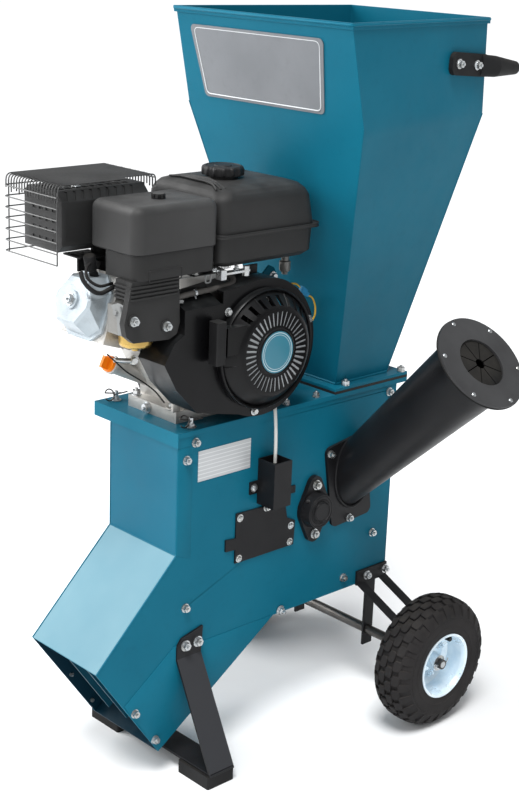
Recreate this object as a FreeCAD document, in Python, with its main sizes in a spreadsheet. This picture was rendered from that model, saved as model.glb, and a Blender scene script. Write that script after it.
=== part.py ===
import FreeCAD, Part
import Sketcher
import math
import os
import re

from FreeCAD import Placement, Rotation, Vector

# Petrol wood chipper with a feed hopper, a side feed tube for branches, a slanted discharge chute,
# a belt-driven rotor and a two-wheel stand.
# Design coordinates: X runs along the housing from its front wall (x = 0), Y from its near wall (y = 0)
# to its far wall, Z up from the ground. Every sub-part is then shifted by (-origin_x, -origin_y), which
# puts the origin on the ground under the middle of the whole machine.

os.makedirs("parts", exist_ok=True)
doc = FreeCAD.newDocument("wood_chipper")
sheet = doc.addObject("Spreadsheet::Sheet", "Dims")

DIMENSIONS = {
    "origin_x": 234.4,          # front wall to the origin
    "origin_y": 18.2,           # near wall to the origin
    "steel": 2.0,               # housing sheet thickness
    "body_length": 462.0,
    "body_width": 158.0,
    "wall_top": 539.0,
    "floor_low": 199.0,         # underside of the flat part of the floor
    "floor_bend": 204.0,        # x where the floor turns down into the chute
    "chute_top": 353.5,         # where the chute's roof meets the front wall
    "lip_x": -144.5,            # lower edge of the chute's roof
    "lip_z": 207.0,
    "tip_x": -27.0,             # lower end of the chute's floor
    "tip_z": 41.5,
    "deck_thick": 3.0,
    "deck_length": 486.5,
    "deck_width": 197.0,
    "deck_lip": 19.0,
    "flange_front": 316.0,      # hopper foot flange
    "flange_length": 168.0,
    "flange_width": 170.0,
    "gasket": 4.0,
    "flange": 5.0,
    "throat_front": 336.0,      # opening under the hopper
    "throat_length": 113.0,
    "throat_width": 132.0,
    "hopper_y": 83.0,           # hopper centre plane
    "tube_x": 366.0,            # where the feed tube's axis meets the near wall
    "tube_z": 400.0,
    "tube_length": 338.0,
    "rotor_x": 278.0,
    "rotor_z": 362.0,
    "rotor_radius": 140.0,
    "shaft_radius": 12.5,
    "crank_x": 138.0,
    "crank_z": 652.0,
    "crank_radius": 9.5,
    "belt_y": 212.0,            # middle plane of the belt
    "crank_pulley_bottom": 41.0,
    "rotor_pulley_bottom": 51.0,
    "wheel_x": 424.6,
    "wheel_radius": 107.9,
    "wheel_offset": 140.3,      # wheel centre outside its side wall
    "tyre_width": 71.0,
    "axle_radius": 8.0,
    "foot_height": 20.5,
    "running_gap": 0.06,        # radial clearance of a shaft in its bearing
}

for row, (alias, value) in enumerate(DIMENSIONS.items(), start=1):
    sheet.set("A%d" % row, alias)
    sheet.set("B%d" % row, repr(value))
    sheet.setAlias("B%d" % row, alias)
doc.recompute()

SUB_PARTS = []


# ---------------------------------------------------------------- sizes and expressions

def dim(alias):
    """Value of a sheet cell."""
    return float(sheet.get(alias))


def number(text):
    """Value of a sum of products of aliases and numbers, such as 'body_length - 2*steel'."""
    total = 0.0
    for term in str(text).replace("-", "+-").split("+"):
        term = term.strip()
        if not term:
            continue
        product = 1.0
        if term.startswith("-"):
            product = -1.0
            term = term[1:]
        for factor in term.split("*"):
            factor = factor.strip()
            product *= dim(factor) if factor in DIMENSIONS else float(factor)
        total += product
    return total


def bind(obj, prop, text):
    """Bind a property to an expression of sheet aliases."""
    obj.setExpression(prop, re.sub(r"[a-z][a-z_]*", lambda word: "Dims." + word.group(0), str(text)))


def put(obj, at, direction=None):
    """Place an object at a point in design coordinates, its own Z turned towards a direction."""
    if direction is not None:
        obj.Placement = Placement(Vector(0, 0, 0), Rotation(Vector(0, 0, 1), Vector(*direction)))
    bind(obj, "Placement.Base.x", "%s - origin_x" % at[0])
    bind(obj, "Placement.Base.y", "%s - origin_y" % at[1])
    bind(obj, "Placement.Base.z", at[2])
    return obj


def sub_part(obj, label):
    """Name a finished sub-part and list it for writing."""
    obj.Label = label
    SUB_PARTS.append(obj)
    return obj


# ---------------------------------------------------------------- primitives and booleans

def box(size, corner):
    """Part box of three bound sizes, placed by its lowest corner."""
    obj = doc.addObject("Part::Box", "Box")
    for prop, text in zip(("Length", "Width", "Height"), size):
        bind(obj, prop, text)
    return put(obj, corner)


def cylinder(radius, length, start, direction=(0, 1, 0)):
    """Part cylinder that runs from a point along a direction."""
    obj = doc.addObject("Part::Cylinder", "Cylinder")
    bind(obj, "Radius", radius)
    bind(obj, "Height", length)
    return put(obj, start, direction)


def fuse(pieces):
    obj = doc.addObject("Part::MultiFuse", "Fuse")
    obj.Shapes = pieces
    return obj


def cut(base, tool):
    obj = doc.addObject("Part::Cut", "Cut")
    obj.Base = base
    obj.Tool = tool if not isinstance(tool, list) else fuse(tool)
    return obj


def group(pieces):
    """Separate solids kept together as one sub-part."""
    obj = doc.addObject("Part::Compound", "Group")
    obj.Links = pieces
    return obj


def rounded(obj, radius, wanted):
    """Part fillet of the edges that a test picks by their middle point and direction."""
    doc.recompute()
    fillet = doc.addObject("Part::Fillet", "Fillet")
    fillet.Base = obj
    picked = []
    for index, edge in enumerate(obj.Shape.Edges, start=1):
        middle = edge.valueAt((edge.FirstParameter + edge.LastParameter) / 2)
        middle = middle + Vector(dim("origin_x"), dim("origin_y"), 0)
        if wanted(middle, edge.tangentAt(edge.FirstParameter)):
            picked.append((index, radius, radius))
    fillet.Edges = picked
    return fillet


def feature(shape):
    """Shape in design coordinates, kept as a plain feature."""
    obj = doc.addObject("Part::Feature", "Shape")
    shift = Placement(Vector(-dim("origin_x"), -dim("origin_y"), 0), Rotation())
    obj.Shape = shape
    obj.Placement = shift.multiply(shape.Placement)
    return obj


# ---------------------------------------------------------------- sketched bodies

def new_sketch(body, role, name):
    """Sketch on one of the body's own origin planes."""
    sketch = body.newObject("Sketcher::SketchObject", name)
    plane = [item for item in body.Origin.OriginFeatures if item.Role == role][0]
    sketch.AttachmentSupport = [(plane, "")]
    sketch.MapMode = "FlatFace"
    return sketch


def draw_polygon(sketch, points):
    """Closed outline whose corner points are all bound to the sheet."""
    spots = [Vector(number(x), number(y), 0) for x, y in points]
    first = sketch.GeometryCount
    count = len(spots)
    for index in range(count):
        sketch.addGeometry(Part.LineSegment(spots[index], spots[(index + 1) % count]), False)
    for index in range(count):
        following = first + (index + 1) % count
        sketch.addConstraint(Sketcher.Constraint("Coincident", first + index, 2, following, 1))
    for index, (x, y) in enumerate(points):
        for kind, text in (("DistanceX", x), ("DistanceY", y)):
            spot = Sketcher.Constraint(kind, -1, 1, first + index, 1, number(text))
            place = sketch.addConstraint(spot)
            bind(sketch, "Constraints[%d]" % place, text)


def draw_circles(sketch, spots, radius):
    """Circles at bound centres."""
    for x, y in spots:
        centre = Vector(number(x), number(y), 0)
        item = sketch.addGeometry(Part.Circle(centre, Vector(0, 0, 1), number(radius)), False)
        for kind, text in (("DistanceX", x), ("DistanceY", y)):
            place = sketch.addConstraint(Sketcher.Constraint(kind, -1, 1, item, 3, number(text)))
            bind(sketch, "Constraints[%d]" % place, text)
        place = sketch.addConstraint(Sketcher.Constraint("Radius", item, number(radius)))
        bind(sketch, "Constraints[%d]" % place, radius)


def plate(label, role, points, thickness, at, holes=(), windows=()):
    """Flat plate: an outline pad, with round holes and windows cut through it.

    On XZ_Plane the pad grows towards -Y, on XY_Plane towards +Z.
    """
    body = doc.addObject("PartDesign::Body", label + "_body")
    outline = new_sketch(body, role, "Outline")
    draw_polygon(outline, points)
    pad = body.newObject("PartDesign::Pad", "Pad")
    pad.Profile = outline
    bind(pad, "Length", thickness)
    if holes or windows:
        openings = new_sketch(body, role, "Openings")
        for spots, radius in holes:
            draw_circles(openings, spots, radius)
        for window in windows:
            draw_polygon(openings, window)
        pocket = body.newObject("PartDesign::Pocket", "Pocket")
        pocket.Profile = openings
        pocket.Type = "ThroughAll"
        pocket.Midplane = True
    put(body, at)
    return sub_part(body, label)


def turned(label, profile, at, direction=(0, 1, 0)):
    """Turned piece: a half section (radius, height) revolved about the body's own Z."""
    body = doc.addObject("PartDesign::Body", label + "_body")
    section = new_sketch(body, "XZ_Plane", "Section")
    draw_polygon(section, profile)
    spin = body.newObject("PartDesign::Revolution", "Revolution")
    spin.Profile = section
    spin.ReferenceAxis = (section, ["V_Axis"])
    spin.Angle = 360.0
    put(body, at, direction)
    return sub_part(body, label)


# ---------------------------------------------------------------- shared shapes in Part's own functions

def wire_of(points):
    return Part.makePolygon([Vector(*point) for point in points] + [Vector(*points[0])])


def prism(points, direction):
    """Solid of a flat outline pushed along a direction."""
    return Part.Face(wire_of(points)).extrude(Vector(*direction))


def rod(start, end, radius):
    start = Vector(*start)
    end = Vector(*end)
    return Part.makeCylinder(radius, start.distanceToPoint(end), start, end - start)


def loop_face(centre_a, radius_a, centre_b, radius_b, y):
    """Face bounded by two circles in the XZ plane and their outer tangents."""
    a = Vector(centre_a[0], y, centre_a[1])
    b = Vector(centre_b[0], y, centre_b[1])
    along = b - a
    distance = along.Length
    along.normalize()
    side = Vector(along.z, 0, -along.x)
    lean = (radius_a - radius_b) / distance
    across = math.sqrt(1 - lean * lean)
    left = along * lean + side * across
    right = along * lean - side * across
    edges = [
        Part.Arc(a + left * radius_a, a - along * radius_a, a + right * radius_a).toShape(),
        Part.LineSegment(a + right * radius_a, b + right * radius_b).toShape(),
        Part.Arc(b + right * radius_b, b + along * radius_b, b + left * radius_b).toShape(),
        Part.LineSegment(b + left * radius_b, a + left * radius_a).toShape(),
    ]
    return Part.Face(Part.Wire(edges))


def cable(points, radius):
    """Tube along straight runs joined by tangent arcs as large as the shorter run allows."""
    spots = [Vector(*point) for point in points]
    path = []
    cursor = spots[0]
    for before, corner, after in zip(spots, spots[1:], spots[2:]):
        arrive = (corner - before).normalize()
        leave = (after - corner).normalize()
        turn = arrive.getAngle(leave)
        reach = 0.45 * min(corner.distanceToPoint(before), corner.distanceToPoint(after))
        bend = reach / math.tan(turn / 2)
        print("cable bend radius %.1f" % bend)
        start = corner - arrive * reach
        end = corner + leave * reach
        inward = (leave - arrive).normalize()
        middle = corner + inward * (bend / math.cos(turn / 2) - bend)
        path.append(Part.LineSegment(cursor, start).toShape())
        path.append(Part.Arc(start, middle, end).toShape())
        cursor = end
    path.append(Part.LineSegment(cursor, spots[-1]).toShape())
    route = Part.Wire(path)
    section = Part.Wire(Part.makeCircle(radius, spots[0], spots[1] - spots[0]))
    return route.makePipeShell([section], True, True)


# ---------------------------------------------------------------- fasteners

HEX_SOLIDS = []


def hex_bolt(at, outward, across=11.0, washer=8.5, shank=None):
    """Washer, hexagon head and thread end seated on a face, with a shank behind it if one is given."""
    seat = Vector(*at)
    out = Vector(*outward).normalize()
    turn = Rotation(Vector(0, 0, 1), out)
    ring = Part.makeCylinder(washer, 1.6)
    corners = [
        Vector(across / math.sqrt(3) * math.cos(math.radians(60 * k)),
               across / math.sqrt(3) * math.sin(math.radians(60 * k)), 1.6)
        for k in range(6)
    ]
    head = Part.Face(Part.makePolygon(corners + corners[:1])).extrude(Vector(0, 0, 5.5))
    stem = Part.makeCylinder(across / 4.4, 3.0, Vector(0, 0, 7.1))
    solid = ring.fuse([head, stem]).removeSplitter()
    if shank:
        behind = Part.makeCylinder(shank, 5.0, Vector(0, 0, -5.0))
        solid = solid.fuse(behind).removeSplitter()
    solid.Placement = Placement(seat, turn)
    HEX_SOLIDS.append(solid)


def bolt_holes(spots):
    """Cutting tools for bolts that pass right across the housing."""
    return [Part.makeCylinder(3.4, 200, Vector(x, -20, z), Vector(0, 1, 0)) for x, z in spots]


WALL_BOLTS = [(31.6, 522.7), (15.2, 498.9), (19.4, 265.1), (443.9, 523.2), (423.0, 283.5), (358.8, 219.9),
              (-73.8, 122.2), (-34.4, 64.8)]
LEG_BOLTS = [(18.4, 205.2), (42.4, 205.2)]
BRACKET_BOLTS = [(413.1, 210.7), (457.0, 210.7)]


# ---------------------------------------------------------------- housing

def make_side_walls():
    outline = [("0", "wall_top"), ("body_length", "wall_top"), ("body_length", "floor_low"),
               ("floor_bend", "floor_low"), ("tip_x", "tip_z"), ("lip_x", "lip_z"), ("0", "chute_top")]
    shaft_hole = ([("rotor_x", "rotor_z")], "shaft_radius + 8")
    bolt_holes = (WALL_BOLTS + LEG_BOLTS + BRACKET_BOLTS, 3.4)
    entry = ([("tube_x", "tube_z")], 40.0)
    plate("side_wall_near", "XZ_Plane", outline, "steel", ("0", "steel", "0"), [shaft_hole, bolt_holes, entry])
    plate("side_wall_far", "XZ_Plane", outline, "steel", ("0", "body_width", "0"), [shaft_hole, bolt_holes])


def make_front_wall():
    inner = [("steel", "wall_top"), ("steel", "chute_top - 0.8"), ("lip_x + 1.42", "lip_z - 1.4")]
    outline = [("0", "wall_top"), ("0", "chute_top"), ("lip_x", "lip_z")] + inner[::-1]
    plate("front_wall", "XZ_Plane", outline, "body_width - 2*steel", ("0", "body_width - steel", "0"))


def make_rear_wall():
    outline = [("body_length", "wall_top"), ("body_length", "floor_low"), ("floor_bend", "floor_low"),
               ("tip_x", "tip_z"), ("tip_x - 1.13", "tip_z + 1.65"), ("floor_bend - 0.62", "floor_low + steel"),
               ("body_length - steel", "floor_low + steel"), ("body_length - steel", "wall_top")]
    plate("rear_wall", "XZ_Plane", outline, "body_width - 2*steel", ("0", "body_width - steel", "0"))


def make_deck():
    front = "-2.5"
    near = "-2"
    top = box(("deck_length", "deck_width", "deck_thick"), (front, near, "wall_top"))
    throat = box(("throat_length", "throat_width", "20"),
                 ("throat_front", "hopper_y - 0.5*throat_width", "wall_top - 8"))
    front_lip = box(("2.5", "deck_width", "deck_lip"), (front, near, "wall_top - deck_lip"))
    near_lip = box(("deck_length", "2", "5"), (front, near, "wall_top - 5"))
    far_lip = box(("deck_length", "2", "deck_lip"), (front, "deck_width - 4", "wall_top - deck_lip"))
    sub_part(cut(fuse([top, front_lip, near_lip, far_lip]), throat), "deck_plate")


def make_chute_guard():
    """Two upright vanes that keep hands out of the chute."""
    outline = [("-95", "246"), ("-128", "200"), ("-40", "76"), ("10", "110")]
    vanes = []
    for y in (60.0, 104.0):
        points = [(number(x), y, number(z)) for x, z in outline]
        vanes.append(feature(prism(points, (0, 3, 0))))
    sub_part(group(vanes), "chute_guard")


def make_outlet_screen():
    """Curved screen plate under the rotor."""
    centre = Vector(dim("rotor_x"), 12, dim("rotor_z"))
    width = dim("body_width") - 24
    along = Vector(0, 1, 0)
    shell = Part.makeCylinder(152, width, centre, along).cut(Part.makeCylinder(149, width, centre, along))
    wedge = prism([(dim("rotor_x"), 0, dim("rotor_z")), (dim("rotor_x") - 300, 0, dim("rotor_z") - 170),
                   (dim("rotor_x") + 300, 0, dim("rotor_z") - 170)], (0, 200, 0))
    screen = shell.common(wedge)
    for turn in range(-40, 41, 16):
        angle = math.radians(turn)
        reach = Vector(math.sin(angle), 0, -math.cos(angle))
        for step in range(4):
            spot = centre + reach * 140 + Vector(0, 22 + 30 * step, 0)
            screen = screen.cut(Part.makeCylinder(10, 25, spot, reach))
    sub_part(feature(screen), "outlet_screen")


def make_wall_furniture():
    """Cover plate with a grip tab, switch box and blank rating plate on the near wall."""
    cover = [("115", "311"), ("238", "311"), ("240", "351"), ("222", "360"), ("216", "389"), ("115", "392"),
             ("115", "352"), ("95", "354"), ("95", "335"), ("115", "334")]
    plate("cover_plate", "XZ_Plane", cover, 3.0, ("0", "0", "0"))
    case = box(("36", "37", "73"), ("158", "-37", "398"))
    hollow = box(("32", "33", "71"), ("160", "-35", "400"))
    left_tab = box(("17", "2.5", "20"), ("141", "-2.5", "416"))
    right_tab = box(("44", "2.5", "12"), ("194", "-2.5", "398"))
    sub_part(cut(fuse([case, left_tab, right_tab]), hollow), "switch_box")
    rating = box(("103", "0.8", "47"), ("38", "-0.8", "460"))
    sub_part(group([rating]), "rating_plate")


def make_switch_cable():
    """Sheathed lead held at the engine's side, on the deck's edge and in the switch box."""
    route = [(236, 60, 606), (240, 42, 578), (226, 22, 555), (200, 6, 551), (182, -6, 552), (178, -14, 528),
             (177, -17, 497), (176, -18, 465)]
    sub_part(feature(cable(route, 2.6)), "switch_cable")


# ---------------------------------------------------------------- hopper

def hopper_levels(inset):
    """Corner rings of the hopper at its base, kink and rim, moved inwards by an inset."""
    centre = dim("hopper_y")
    levels = []
    for front, rear, half_front, half_rear, z in ((334.0, 451.0, 68.0, 68.0, 551.0),
                                                  (237.0, 551.0, 187.7, 143.6, 970.0),
                                                  (204.7, 546.4, 185.7, 143.5, 1115.0)):
        levels.append([(front + inset, centre - half_front + inset, z),
                       (rear - inset, centre - half_rear + inset, z),
                       (rear - inset, centre + half_rear - inset, z),
                       (front + inset, centre + half_front - inset, z)])
    return levels


def between(lower, upper, share):
    """Ring part of the way between two corner rings."""
    return [tuple(a + (b - a) * share for a, b in zip(low, high)) for low, high in zip(lower, upper)]


def loft(rings):
    return Part.makeLoft([wire_of(ring) for ring in rings], True, True)


def make_hopper():
    outside = hopper_levels(0.0)
    inside = hopper_levels(dim("steel"))
    # the inner form runs past both ends so that the cut leaves them open
    below = between(inside[0], inside[1], -0.01)
    above = between(inside[1], inside[2], 1.05)
    shell = loft(outside[:2]).fuse(loft(outside[1:])).removeSplitter()
    hollow = loft([below, inside[1]]).fuse(loft([inside[1], above])).removeSplitter()
    shell = shell.cut(hollow)
    # folded rim outside the mouth
    rim_low = between(outside[1], outside[2], 0.935)
    hem = loft([grown(rim_low, 3.0), grown(outside[2], 3.0)])
    hem = hem.cut(loft([between(outside[1], outside[2], 0.9), between(outside[1], outside[2], 1.1)]))
    shell = shell.fuse(hem).removeSplitter()
    sub_part(feature(shell), "hopper")


def grown(ring, amount):
    """Ring moved outwards by an amount along X and Y."""
    centre_x = sum(point[0] for point in ring) / 4
    centre_y = sum(point[1] for point in ring) / 4
    return [(x + math.copysign(amount, x - centre_x), y + math.copysign(amount, y - centre_y), z)
            for x, y, z in ring]


def make_hopper_foot():
    outline = [("flange_front", "hopper_y - 0.5*flange_width"),
               ("flange_front + flange_length", "hopper_y - 0.5*flange_width"),
               ("flange_front + flange_length", "hopper_y + 0.5*flange_width"),
               ("flange_front", "hopper_y + 0.5*flange_width")]
    throat = [("throat_front", "hopper_y - 0.5*throat_width"),
              ("throat_front + throat_length", "hopper_y - 0.5*throat_width"),
              ("throat_front + throat_length", "hopper_y + 0.5*throat_width"),
              ("throat_front", "hopper_y + 0.5*throat_width")]
    deck_top = "wall_top + deck_thick"
    plate("hopper_gasket", "XY_Plane", outline, "gasket", ("0", "0", deck_top), windows=[throat])
    plate("hopper_flange", "XY_Plane", outline, "flange", ("0", "0", deck_top + " + gasket"), windows=[throat])


def panel_point(x, z):
    """Point on the near hopper panel above the kink."""
    kink, rim = hopper_levels(0.0)[1:]
    share = (z - kink[0][2]) / (rim[0][2] - kink[0][2])
    ring = between(kink, rim, share)
    along = (x - ring[0][0]) / (ring[1][0] - ring[0][0])
    return ring[0][1] + along * (ring[1][1] - ring[0][1])


def ellipse_wire(centre, along, wide, half_wide, half_high):
    """Ellipse square to a direction, its first half-axis along the given cross direction."""
    curve = Part.Ellipse(Vector(0, 0, 0), max(half_wide, half_high), min(half_wide, half_high))
    ring = Part.Wire(curve.toShape())
    tall = half_high > half_wide
    high = along.cross(wide)
    major, minor = (high, wide) if tall else (wide, high)
    if major.cross(minor).dot(along) < 0:
        minor = -minor
    ring.Placement = Placement(centre, Rotation(major, minor, along, "ZXY"))
    return ring


def make_handles():
    """Two push handles: a flat blade bolted to the panel that widens into a tapering grip."""
    handles = []
    for mirrored in (False, True):
        start = Vector(446, panel_point(446, 1050) - 0.6, 1051)
        finish = Vector(532, panel_point(532, 1042) - 0.6, 1044)
        run = (finish - start).normalize()
        out = Vector(run.y, -run.x, 0).normalize()
        high = run.cross(out)
        if high.z < 0:
            high = -high
        corner = start - high * 17
        blade = Part.Face(Part.makePolygon([corner, corner + run * 92, corner + run * 92 + high * 34,
                                            corner + high * 34, corner])).extrude(out * 7)
        front = [edge for edge in blade.Edges
                 if edge.Length < 7.5 and (edge.CenterOfMass - start).dot(run) < 1]
        blade = blade.makeFillet(12.0, front)
        sections = []
        for reach, offset, thick, tall in ((80, 5.4, 5.0, 16.8), (106, 14.0, 13.0, 16.0), (168, 13.0, 10.3, 10.4)):
            sections.append(ellipse_wire(start + run * reach + out * offset, run, out, thick, tall))
        grip = Part.makeLoft(sections, True, True)
        solid = blade.fuse(grip).removeSplitter()
        if mirrored:
            solid = solid.mirror(Vector(0, dim("hopper_y"), 0), Vector(0, 1, 0))
        handles.append(feature(solid))
        for share in (17, 67):
            seat = start + run * share + out * 7
            direction = Vector(out)
            if mirrored:
                seat.y = 2 * dim("hopper_y") - seat.y
                direction.y = -direction.y
            hex_bolt(seat, direction, 10.0, 7.5)
    sub_part(group(handles), "push_handles")


def make_badge():
    """Blank name plate on the hopper's front panel, narrower at its lower edge."""
    kink, rim = hopper_levels(0.0)[1:]
    centre_y = dim("hopper_y") + 15
    corners = []
    for share, half_width in ((0.085, 128), (0.825, 142)):
        ring = between(kink, rim, share)
        corners.append(Vector(ring[0][0] - 0.4, centre_y - half_width, ring[0][2]))
        corners.append(Vector(ring[0][0] - 0.4, centre_y + half_width, ring[0][2]))
    low_near, low_far, high_near, high_far = corners
    normal = (low_far - low_near).cross(high_near - low_near).normalize()
    if normal.x > 0:
        normal = -normal
    face = Part.Face(Part.makePolygon([low_near, low_far, high_far, high_near, low_near]))
    blank = face.extrude(normal * 1.2)
    short = [edge for edge in blank.Edges if edge.Length < 2]
    sub_part(feature(blank.makeFillet(8.0, short)), "hopper_badge")


# ---------------------------------------------------------------- branch feed tube

TUBE_DIRECTION = Vector(0, -1, 1).normalize()


def tube_point(reach):
    return Vector(dim("tube_x"), 0, dim("tube_z")) + TUBE_DIRECTION * reach


def make_feed_tube():
    low, high, wall = 41.9, 59.4, 2.5
    length = dim("tube_length")
    growth = (high - low) / length
    start = tube_point(-60)
    body = Part.makeCone(low - 60 * growth, high, length + 60, start, TUBE_DIRECTION)
    bore = Part.makeCone(low - 60 * growth - wall, high - wall + 0.01, length + 60.2, start, TUBE_DIRECTION)
    outside = Part.makeBox(400, 500, 900, Vector(150, -500, 0))
    tube = body.common(outside)
    corners = [(300, 0, 455), (392, 0, 470), (412, 0, 325), (322, 0, 318)]
    flange = prism(corners, (0, -5, 0))
    upright = [edge for edge in flange.Edges if abs(edge.tangentAt(0).y) > 0.9]
    flange = flange.makeFillet(11.0, upright)
    solid = flange.fuse(tube).cut(bore).removeSplitter()
    sub_part(feature(solid), "feed_tube")
    for x, z in ((309.5, 446.0), (360.0, 327.0)):
        hex_bolt((x, -5, z), (0, -1, 0), 9.0, 6.5)


def make_feed_mouth():
    """Flat mouth ring with a slit rubber flap behind it."""
    seat = tube_point(dim("tube_length"))
    flap = Part.makeCylinder(75.0, 2.5, seat, TUBE_DIRECTION)
    hole = Part.makeCylinder(5.0, 2.5, seat, TUBE_DIRECTION)
    flap = flap.cut(hole)
    turn = Rotation(Vector(0, 0, 1), TUBE_DIRECTION)
    for index in range(8):
        slit = Part.makeBox(35.0, 0.5, 2.5, Vector(3.0, -0.25, 0))
        slit.Placement = Placement(seat, turn.multiply(Rotation(Vector(0, 0, 1), 45.0 * index + 12)))
        flap = flap.cut(slit)
    sub_part(feature(flap), "feed_flap")
    ring = cut(cylinder(76.0, 4.0, seat_text(seat, 2.5), tuple(TUBE_DIRECTION)),
               cylinder(38.8, 4.0, seat_text(seat, 2.5), tuple(TUBE_DIRECTION)))
    sub_part(ring, "feed_ring")


def seat_text(seat, reach):
    """Coordinates of a point a little further along the feed tube."""
    point = seat + TUBE_DIRECTION * reach
    return tuple("%.4f" % value for value in point)


# ---------------------------------------------------------------- rotor

def make_bearings():
    """Cast two-bolt bearing housings: the near one is capped, the far one lets the shaft through."""
    x, z = dim("rotor_x"), dim("rotor_z")
    for label, face_y, outward in (("bearing_near", 0.0, -1.0), ("bearing_far", dim("body_width"), 1.0)):
        foot = loop_face((x, z + 41), 14, (x, z), 32, face_y).extrude(Vector(0, 8 * outward, 0))
        foot = foot.fuse(loop_face((x, z - 41), 14, (x, z), 32, face_y).extrude(Vector(0, 8 * outward, 0)))
        out = Vector(0, outward, 0)
        foot = foot.fuse(Part.makeCone(30, 27, 14, Vector(x, face_y + 8 * outward, z), out))
        bore_radius = dim("shaft_radius") + dim("running_gap")
        bore_length = 18 if outward < 0 else 22
        bore = Part.makeCylinder(bore_radius, bore_length, Vector(x, face_y, z), out)
        if outward < 0:
            foot = foot.fuse(Part.makeCylinder(14, 2, Vector(x, face_y - 22, z), out))
        solid = foot.cut(bore).removeSplitter()
        sub_part(feature(solid), label)
        for side in (-41, 41):
            hex_bolt((x, face_y + 8 * outward, z + side), (0, outward, 0), 11.0, 8.0)


def make_rotor():
    x, z = "rotor_x", "rotor_z"
    shaft = cylinder("shaft_radius", "belt_y + 24", (x, "-16", z))
    sub_part(shaft, "rotor_shaft")
    gap = "shaft_radius + 0.02"
    centre_x, centre_z = dim(x), dim(z)
    discs = []
    for y, thick in ((18, 10), (116, 6)):
        disc = Part.makeCylinder(dim("rotor_radius"), thick, Vector(centre_x, y, centre_z), Vector(0, 1, 0))
        discs.append(disc)
    sleeve = Part.makeCylinder(24, 88, Vector(centre_x, 28, centre_z), Vector(0, 1, 0))
    bore = Part.makeCylinder(number(gap), 200, Vector(centre_x, 0, centre_z), Vector(0, 1, 0))
    drum = discs[0].fuse([discs[1], sleeve]).cut(bore)
    pins = []
    for side in (-1, 1):
        pins.append(Part.makeCylinder(7, 88, Vector(centre_x + side * 82, 28, centre_z), Vector(0, 1, 0)))
        window = Part.makeCylinder(16, 40, Vector(centre_x, 0, centre_z + side * 88), Vector(0, 1, 0))
        drum = drum.cut(window)
    drum = drum.fuse(pins).removeSplitter()
    sub_part(feature(drum), "rotor_drum")
    knives = []
    for side in (-1, 1):
        corner = Vector(centre_x - 20, 12, centre_z + side * 88 - 42)
        if side > 0:
            corner = Vector(centre_x - 20, 12, centre_z + 46)
        blade = Part.makeBox(14, 6, 84, corner)
        bevel = prism([(corner.x, 12, corner.z), (corner.x + 5, 12, corner.z), (corner.x, 17, corner.z)],
                      (0, 0, 84))
        knives.append(feature(blade.cut(bevel)))
    sub_part(group(knives), "rotor_knives")
    for label, side in (("hammer_front", -1), ("hammer_rear", 1)):
        pin_x = centre_x + side * 82
        bar = loop_face((pin_x, centre_z), 19, (pin_x, centre_z - 38), 16, 48).extrude(Vector(0, 46, 0))
        eye = Part.makeCylinder(7 + dim("running_gap"), 60, Vector(pin_x, 40, centre_z), Vector(0, 1, 0))
        sub_part(feature(bar.cut(eye)), label)


def make_pulleys():
    """Grooved belt pulleys, turned about their own axis."""
    for label, x, z, bottom, bore in (
            ("rotor_pulley", "rotor_x", "rotor_z", "rotor_pulley_bottom", "shaft_radius + 0.02"),
            ("crank_pulley", "crank_x", "crank_z", "crank_pulley_bottom", "crank_radius + 0.02")):
        profile = [(bore, "-13"), (bottom + " + 9", "-10.5"), (bottom + " + 9", "-6.6"), (bottom, "-6.6"),
                   (bottom, "6.6"), (bottom + " + 9", "6.6"), (bottom + " + 9", "10.5"), (bore, "12")]
        turned(label, profile, (x, "belt_y", z))


def make_belt():
    rotor = (dim("rotor_x"), dim("rotor_z"))
    crank = (dim("crank_x"), dim("crank_z"))
    inner = 0.4
    outer = 8.4
    y = dim("belt_y") - 6.2
    low = dim("rotor_pulley_bottom")
    high = dim("crank_pulley_bottom")
    band = loop_face(rotor, low + outer, crank, high + outer, y).extrude(Vector(0, 12.4, 0))
    band = band.cut(loop_face(rotor, low + inner, crank, high + inner, y).extrude(Vector(0, 12.4, 0)))
    sub_part(feature(band), "drive_belt")


def make_belt_guard():
    """Sheet cover over belt and pulleys, held by two stand-offs on the far wall."""
    rotor = (dim("rotor_x"), dim("rotor_z"))
    crank = (dim("crank_x"), dim("crank_z"))
    near = 197.0
    depth = 43.0
    shell = loop_face(rotor, 76, crank, 66, near).extrude(Vector(0, depth, 0))
    shell = shell.cut(loop_face(rotor, 74, crank, 64, near).extrude(Vector(0, depth - 2, 0)))
    for centre, reach in ((rotor, 50), (crank, 40)):
        for index in range(10):
            angle = math.radians(36 * index)
            spot = Vector(centre[0] + reach * math.cos(angle), near, centre[1] + reach * math.sin(angle))
            shell = shell.cut(Part.makeCylinder(5, 60, spot, Vector(0, 1, 0)))
    for share in (0.30, 0.46):
        spot = Vector(rotor[0] + (crank[0] - rotor[0]) * share, dim("body_width"),
                      rotor[1] + (crank[1] - rotor[1]) * share)
        shell = shell.fuse(Part.makeCylinder(7, near + depth - 2 - dim("body_width"), spot, Vector(0, 1, 0)))
        hex_bolt((spot.x, near + depth, spot.z), (0, 1, 0), 10.0, 8.0)
    sub_part(feature(shell.removeSplitter()), "belt_guard")


# ---------------------------------------------------------------- stand and wheels

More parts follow.
